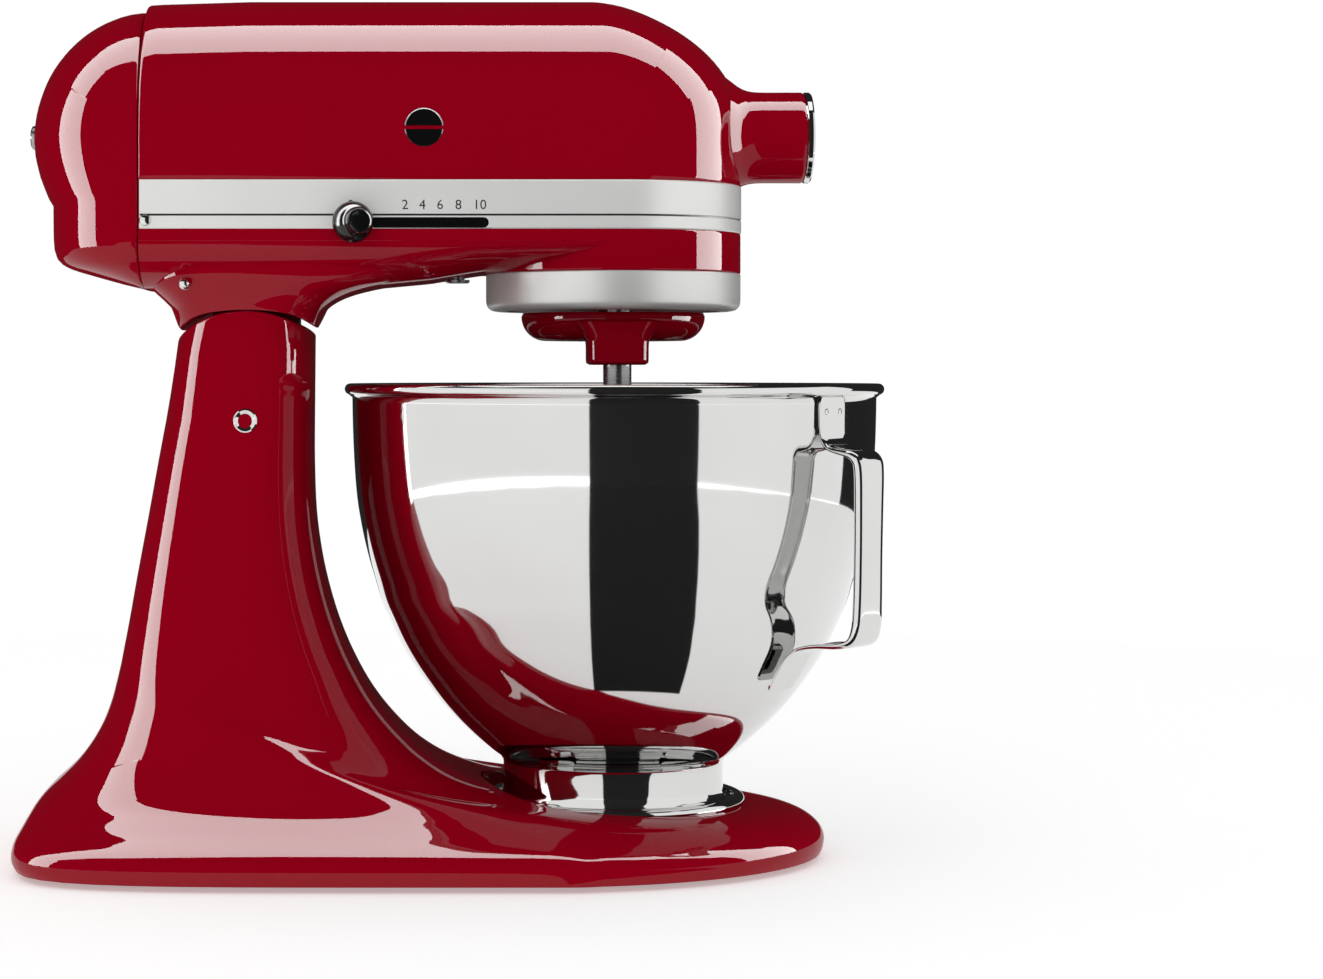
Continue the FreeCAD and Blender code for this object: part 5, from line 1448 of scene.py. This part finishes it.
@dataclass
class Bowl:
    """Spun steel bowl with a rolled rim, a foot ring and a strap handle."""

    datum: Datum
    wall: float = 1.3
    rim_r: float = 109.1
    rim_z: float = 192.7
    roll: float = 2.3
    handle_angle: float = -42.0
    side: tuple[Point, ...] = (
        (0, 35.5), (20, 35.8), (34, 37.0), (45.5, 40.6), (54.2, 46.9), (63.5, 55.2), (71.4, 63.5),
        (77.9, 71.8),
        (83.7, 80.2), (88.5, 88.5), (92.4, 96.8), (95.9, 105), (98.4, 113.4), (100.9, 121.7), (103, 130),
        (104.7, 138.3), (106.2, 148), (107.2, 160), (107.8, 172), (108.1, 182), (108.2, 189.2))

    def shell(self) -> bpy.types.Object:
        """Bowl wall and rolled rim, turned in one.

        Returns:
            The object that it makes.
        """
        outer = resampled(through(self.side, 8), 90)
        inner = []
        for i, (r, z) in enumerate(outer):
            a = outer[max(i - 1, 0)]
            b = outer[min(i + 1, len(outer) - 1)]
            dr, dz = b[0] - a[0], b[1] - a[1]
            size = math.hypot(dr, dz)
            inner.append((max(r - self.wall * dz / size, 0.0), z + self.wall * dr / size))
        inner[0] = (0.0, inner[0][1])
        roll = arc((self.rim_r, self.rim_z), self.roll, -75, 180, 22)
        profile = outer + roll + [(inner[-1][0], self.rim_z - 1.4)] + inner[::-1]
        return lathe("bowl_shell_spun", profile, self.datum.at(0, 0, 0), segments=224, crease=50.0)

    def foot(self) -> bpy.types.Object:
        """Foot ring with a bead under the bowl and lugs at its lower edge.

        Returns:
            The object that it makes.
        """
        outer = through([(46.8, 23.7), (46.3, 25.4), (45.6, 27.5), (45.4, 33), (45.5, 38.6), (46.2, 40.2),
                         (47.4, 42.2),
                         (47.0, 44.0), (45.6, 44.9)], 4)
        profile = outer + [(43.4, 42.4), (42.4, 40.2), (42.4, 23.7)]
        return lathe("foot_ring", profile, self.datum.at(0, 0, 0), segments=160)

    def lugs(self) -> bpy.types.Object:
        """Four lugs on the foot ring.

        Returns:
            The object that it makes.
        """
        rows = []
        for i in range(11):
            angle = math.radians(-12 + 24 * i / 10)
            c, s = math.cos(angle), math.sin(angle)
            reach = 49.0 - (1.4 if i in (0, 10) else 0.0)
            section = [(44.5, 0), (reach, 0), (reach, 1.0), (44.5, 1.0)]
            rows.append([Vector((r * c * MM, r * s * MM, h * MM)) for r, h in section])
        place = Matrix.Translation(self.datum.at(0, 0, 23.7)) @ Matrix.Rotation(math.radians(45), 4, "Z")
        return Repeat.ring("foot_lugs", grid("lug", rows), 4, 0.0, POLISHED_STEEL.material(), place)

    # radius, height, half width and depth of the rolled edges along the strap
    strap: tuple[Point, ...] = (
        (109.5, 190.0, 7.6, 0.1), (109.5, 186.5, 8.9, 0.3), (109.5, 179, 9.0, 0.5),
        (110.0, 174.6, 9.0, 0.9),
        (112.6, 171.3, 9.0, 1.6), (117.5, 170.3, 9.0, 2.4), (123.2, 169.4, 9.0, 3.0),
        (127.0, 166.4, 8.9, 3.4),
        (128.2, 161, 8.6, 3.6), (128.1, 146, 8.2, 3.6), (127.8, 128, 8.0, 3.6), (127.5, 110, 8.2, 3.6),
        (126.8, 100.5, 8.6, 3.4), (123.8, 94.6, 9.0, 2.8), (117, 92.4, 9.0, 2.2), (106, 91.9, 9.0, 1.6),
        (98.5, 90.6, 9.0, 1.0), (93.4, 87.2, 9.0, 0.6), (89.0, 80.7, 9.0, 0.4), (85.2, 75.2, 8.2, 0.2),
        (84.4, 73.9, 7.2, 0.1))

    def handle(self) -> bpy.types.Object:
        """Strap handle: tabs on the wall and a grip with edges rolled inwards.

        Returns:
            The object that it makes.
        """
        path = through(self.strap, 5)
        across = (-1.0, -0.985, -0.93, -0.84, -0.6, -0.2, 0.2, 0.6, 0.84, 0.93, 0.985, 1.0)
        depth = (1.0, 0.62, 0.22, 0.05, 0.0, 0.0, 0.0, 0.0, 0.05, 0.22, 0.62, 1.0)
        turn = math.radians(self.handle_angle)
        rows = []
        for i, (r, z, half, edge) in enumerate(path):
            before = path[max(i - 1, 0)]
            after = path[min(i + 1, len(path) - 1)]
            dr, dz = after[0] - before[0], after[1] - before[1]
            size = math.hypot(dr, dz)
            inward = (dz / size, -dr / size)
            row = []
            for u, d in zip(across, depth):
                rr = r + inward[0] * d * edge
                zz = z + inward[1] * d * edge
                y = u * half
                row.append(self.datum.at(rr * math.cos(turn) - y * math.sin(turn),
                                         rr * math.sin(turn) + y * math.cos(turn), zz))
            rows.append(row)
        skin = grid("handle_skin", rows, closed=False, cap=False, crease=60.0)
        middle = self.datum.at(0, 0, 140)
        centre = sum((skin.matrix_world @ v.co for v in skin.data.vertices),
                     Vector()) / len(skin.data.vertices)
        out = centre - middle
        grip = max(skin.data.polygons, key=lambda face: face.center.xy.length)
        if grip.normal.dot(out) < 0:
            skin.data.flip_normals()
        return walled(skin, 1.3)

    def weld_dots(self) -> bpy.types.Object:
        """Spot-weld dimples on both tabs.

        Returns:
            The object that it makes.
        """
        turn = math.radians(self.handle_angle)
        groups = []
        for r, z, lean in ((109.5, 184.2, 90.0), (87.6, 79.0, 126.0)):
            dot = lathe("dot", [(0, -0.35), (1.5, -0.35), (1.3, 0.0), (0.75, 0.32), (0, 0.42)],
                        Vector((0, 0, 0)),
                        segments=20)
            group = Repeat.places("dots", dot, [Vector((0, y * MM, 0)) for y in (-4.6, 4.6)],
                                  POLISHED_STEEL.material())
            group.data.transform(Matrix.Rotation(math.radians(lean), 4, "Y"))
            group.data.transform(Matrix.Translation(Vector((r * MM, 0, z * MM))))
            group.data.transform(Matrix.Rotation(turn, 4, "Z"))
            group.data.transform(Matrix.Translation(self.datum.at(0, 0, 0)))
            groups.append(group)
        return joined("handle_weld_dots", groups)

    def build(self) -> None:
        """Makes and dresses the bowl's pieces."""
        dressed(self.shell(), POLISHED_STEEL, Body.BOWL, "bowl_shell")
        foot = joined("bowl_foot_pressed", [self.foot(), self.lugs()])
        dressed(foot, POLISHED_STEEL, Body.BOWL, "bowl_foot")
        dressed(self.handle(), POLISHED_STEEL, Body.BOWL, "bowl_handle")
        dressed(self.weld_dots(), POLISHED_STEEL, Body.BOWL)


# ---------------------------------------------------------------- studio


@dataclass
class Studio:
    """Pale floor, soft boxes and the camera."""

    datum: Datum
    floor_r: float = 1.05
    camera_at: Point = (-76.0, -1200.0, 199.8)
    lens: float = 78.6
    shift: Point = (0.175, -0.089)
    dim_boxes: Point = (-96.0, -76.0, -56.0, -36.0, -16.0, 40.0, 60.0, 80.0, 100.0)
    dim_step: float = 20.0
    dim_r: float = 0.95
    dim_h: float = 0.8
    flag_span: Point = (-13.0, 31.0)
    # name, middle, point faced, and extent along the arch and across it, in metres
    strips: tuple = (
        ("overhead", (-0.05, -0.115, 1.45), (-0.05, -0.115, 0.0), (1.75, 0.63)),
        ("left_shoulder", (-1.1375, -0.14, 1.2375), (-0.4304, -0.14, 0.5304), (0.6, 0.64)),
        ("right_shoulder", (1.0375, -0.03, 1.2), (0.276, -0.03, 0.552), (0.655, 0.68)),
        ("right_side", (1.25, 0.05, 0.45), (0.05, 0.05, 0.45), (1.0, 0.72)),
        ("left_side", (-1.35, -0.2, 0.45), (-0.15, -0.1, 0.45), (1.15, 0.68)))

    def floor(self) -> None:
        """Plain round floor, bright enough to run into the background."""
        ring = [Vector((self.floor_r * math.cos(2 * math.pi * i / 128),
                        self.floor_r * math.sin(2 * math.pi * i / 128),
                        0)) for i in range(128)]
        floor = grid("floor", [ring, [p + Vector((0, 0, -0.01)) for p in ring]])
        made = bpy.data.materials.new("matt_paper_floor")
        made.use_nodes = True
        tree = made.node_tree
        tree.nodes.clear()
        shader = add(tree, "ShaderNodeBsdfPrincipled", {"Base Color": linear("#f2f2f2"), "Roughness": 0.9,
                                                        "Specular IOR Level": 0.1,
                                                        "Emission Strength": 0.36,
                                                        "Emission Color": (1, 1, 1, 1)})
        add(tree, "ShaderNodeOutputMaterial", {"Surface": shader.outputs[0]})
        floor.data.materials.append(made)

    def world(self) -> None:
        """White surround for the camera, soft fill on the object, and a dark room in reflections."""
        world = bpy.data.worlds.new("studio")
        bpy.context.scene.world = world
        world.use_nodes = True
        tree = world.node_tree
        tree.nodes.clear()
        path = add(tree, "ShaderNodeLightPath")
        seen = add(tree, "ShaderNodeMath", {0: path.outputs["Is Camera Ray"], 1: 0.99, 2: 0.02},
                   operation="MULTIPLY_ADD")
        fill = add(tree, "ShaderNodeMath", {0: path.outputs["Is Diffuse Ray"], 1: 0.7, 2: seen.outputs[0]},
                   operation="MULTIPLY_ADD")
        light = add(tree, "ShaderNodeBackground", {"Color": (1, 1, 1, 1), "Strength": fill.outputs[0]})
        add(tree, "ShaderNodeOutputWorld", {"Surface": light.outputs[0]})

    def box(self, name: str, at: Point, aim: Point, size: Point, radiance: float, fills: bool = False,
            shines: bool = True) -> bpy.types.Object:
        """One soft box.

        Args:
            name: its name.
            at: its middle, in metres.
            aim: the point that it faces, in metres.
            size: extent upwards (along X for one overhead) and sideways, in metres.
            radiance: how bright its face is.
            fills: it lights matt surfaces.
            shines: it shows in glossy surfaces.

        Returns:
            The soft box.
        """
        light = bpy.data.lights.new(name, "AREA")
        light.shape = "RECTANGLE"
        light.size, light.size_y = size
        light.energy = radiance * size[0] * size[1] * math.pi
        holder = bpy.data.objects.new(name, light)
        bpy.context.scene.collection.objects.link(holder)
        holder.location = at
        holder.rotation_euler = (Vector(aim) - Vector(at)).to_track_quat("-Z", "X").to_euler()
        holder.visible_camera = False
        holder.visible_diffuse = fills
        holder.visible_glossy = shines
        return holder

    def lights(self) -> None:
        """Bright strips in an arch for paint and plastic, a dim ring and roof for metal, and one key."""
        gloss, metal = (bpy.data.collections.new(name) for name in ("gloss_takers", "metal_takers"))
        for piece in bpy.context.scene.objects:
            if piece.type == "MESH" and piece.get("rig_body"):
                painted = piece.active_material.name in PAINTED
                (gloss if painted else metal).objects.link(piece)
        for name, at, aim, size in self.strips:
            self.box(name, at, aim, size, 18.5).light_linking.receiver_collection = gloss
        name, at, aim, size = self.strips[0]
        self.box(name + "_dim", at, aim, size, 1.35).light_linking.receiver_collection = metal
        for i, azimuth in enumerate(self.dim_boxes):
            angle = math.radians(azimuth)
            at = (self.datum.axis_x + self.dim_r * math.sin(angle), -self.dim_r * math.cos(angle),
                  self.dim_h / 2)
            chord = 2 * self.dim_r * math.tan(math.radians(self.dim_step / 2))
            dim = self.box("dim_" + str(i), at, (self.datum.axis_x, 0.0, self.dim_h / 2),
                           (self.dim_h, chord), 1.02)
            dim.light_linking.receiver_collection = metal
        self.box("key", (-0.5, -1.2, 1.3), (0.0, 0.0, 0.15), (0.9, 0.9), 1.1, True, False)

    def flag(self) -> None:
        """Black card that lies and stands in front of the bowl and shows only in its polish."""
        start, end = (math.radians(a) for a in self.flag_span)
        rows = []
        for i in range(25):
            angle = start + (end - start) * i / 24
            c, s = -math.cos(angle), math.sin(angle)
            profile = ((0.1, 0.0015), (self.dim_r - 0.02, 0.0015), (self.dim_r - 0.02, self.dim_h + 0.02))
            rows.append([Vector((self.datum.axis_x + r * s, r * c, z)) for r, z in profile])
        card = grid("flag", rows, closed=False, cap=False)
        made = bpy.data.materials.new("black_velvet")
        made.use_nodes = True
        tree = made.node_tree
        tree.nodes.clear()
        shader = add(tree, "ShaderNodeBsdfDiffuse", {"Color": linear("#2c2c2c")})
        add(tree, "ShaderNodeOutputMaterial", {"Surface": shader.outputs[0]})
        card.data.materials.append(made)
        card.visible_camera = False
        card.visible_diffuse = False
        card.visible_shadow = False

    def camera(self) -> None:
        """Level camera in front of the pedestal, its view shifted towards the bowl."""
        data = bpy.data.cameras.new("camera")
        data.lens = self.lens
        data.sensor_width = 36.0
        data.shift_x, data.shift_y = self.shift
        holder = bpy.data.objects.new("camera", data)
        bpy.context.scene.collection.objects.link(holder)
        holder.location = self.datum.at(*self.camera_at)
        holder.rotation_euler = (math.pi / 2, 0.0, 0.0)
        bpy.context.scene.camera = holder

    def build(self) -> None:
        """Sets the studio up."""
        self.floor()
        self.world()
        self.lights()
        self.flag()
        self.camera()
        bpy.context.scene.view_settings.view_transform = "Standard"


def dress_nodes(frame: dict) -> None:
    """Gives every CAD node its finish by the slot that the record names."""
    by_slot = {finish.slot.value: finish for finish in FINISHES}
    slots = {entry["node"]: entry["material_slot"] for entry in frame["record"]["subparts"]}
    for name, node in frame["nodes"].items():
        finish = by_slot[slots[name]]
        node.data.materials.clear()
        node.data.materials.append(finish.material())
        LOG.info("node %s: %s", name, finish.name)


def main() -> None:
    """Builds the mixer on its frame."""
    logging.basicConfig(level=logging.INFO, format="%(name)s %(message)s")
    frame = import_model()
    low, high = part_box("bowl_shell")
    datum = Datum((low[0] + high[0]) / 2)
    dress_nodes(frame)
    for assembly in (Pedestal(datum), ClampPlate(datum), Head(datum), Controls(datum), Planetary(datum),
                     Bowl(datum),
                     Studio(datum)):
        assembly.build()
        LOG.info("%s done", type(assembly).__name__)


if __name__ == "__main__":
    main()
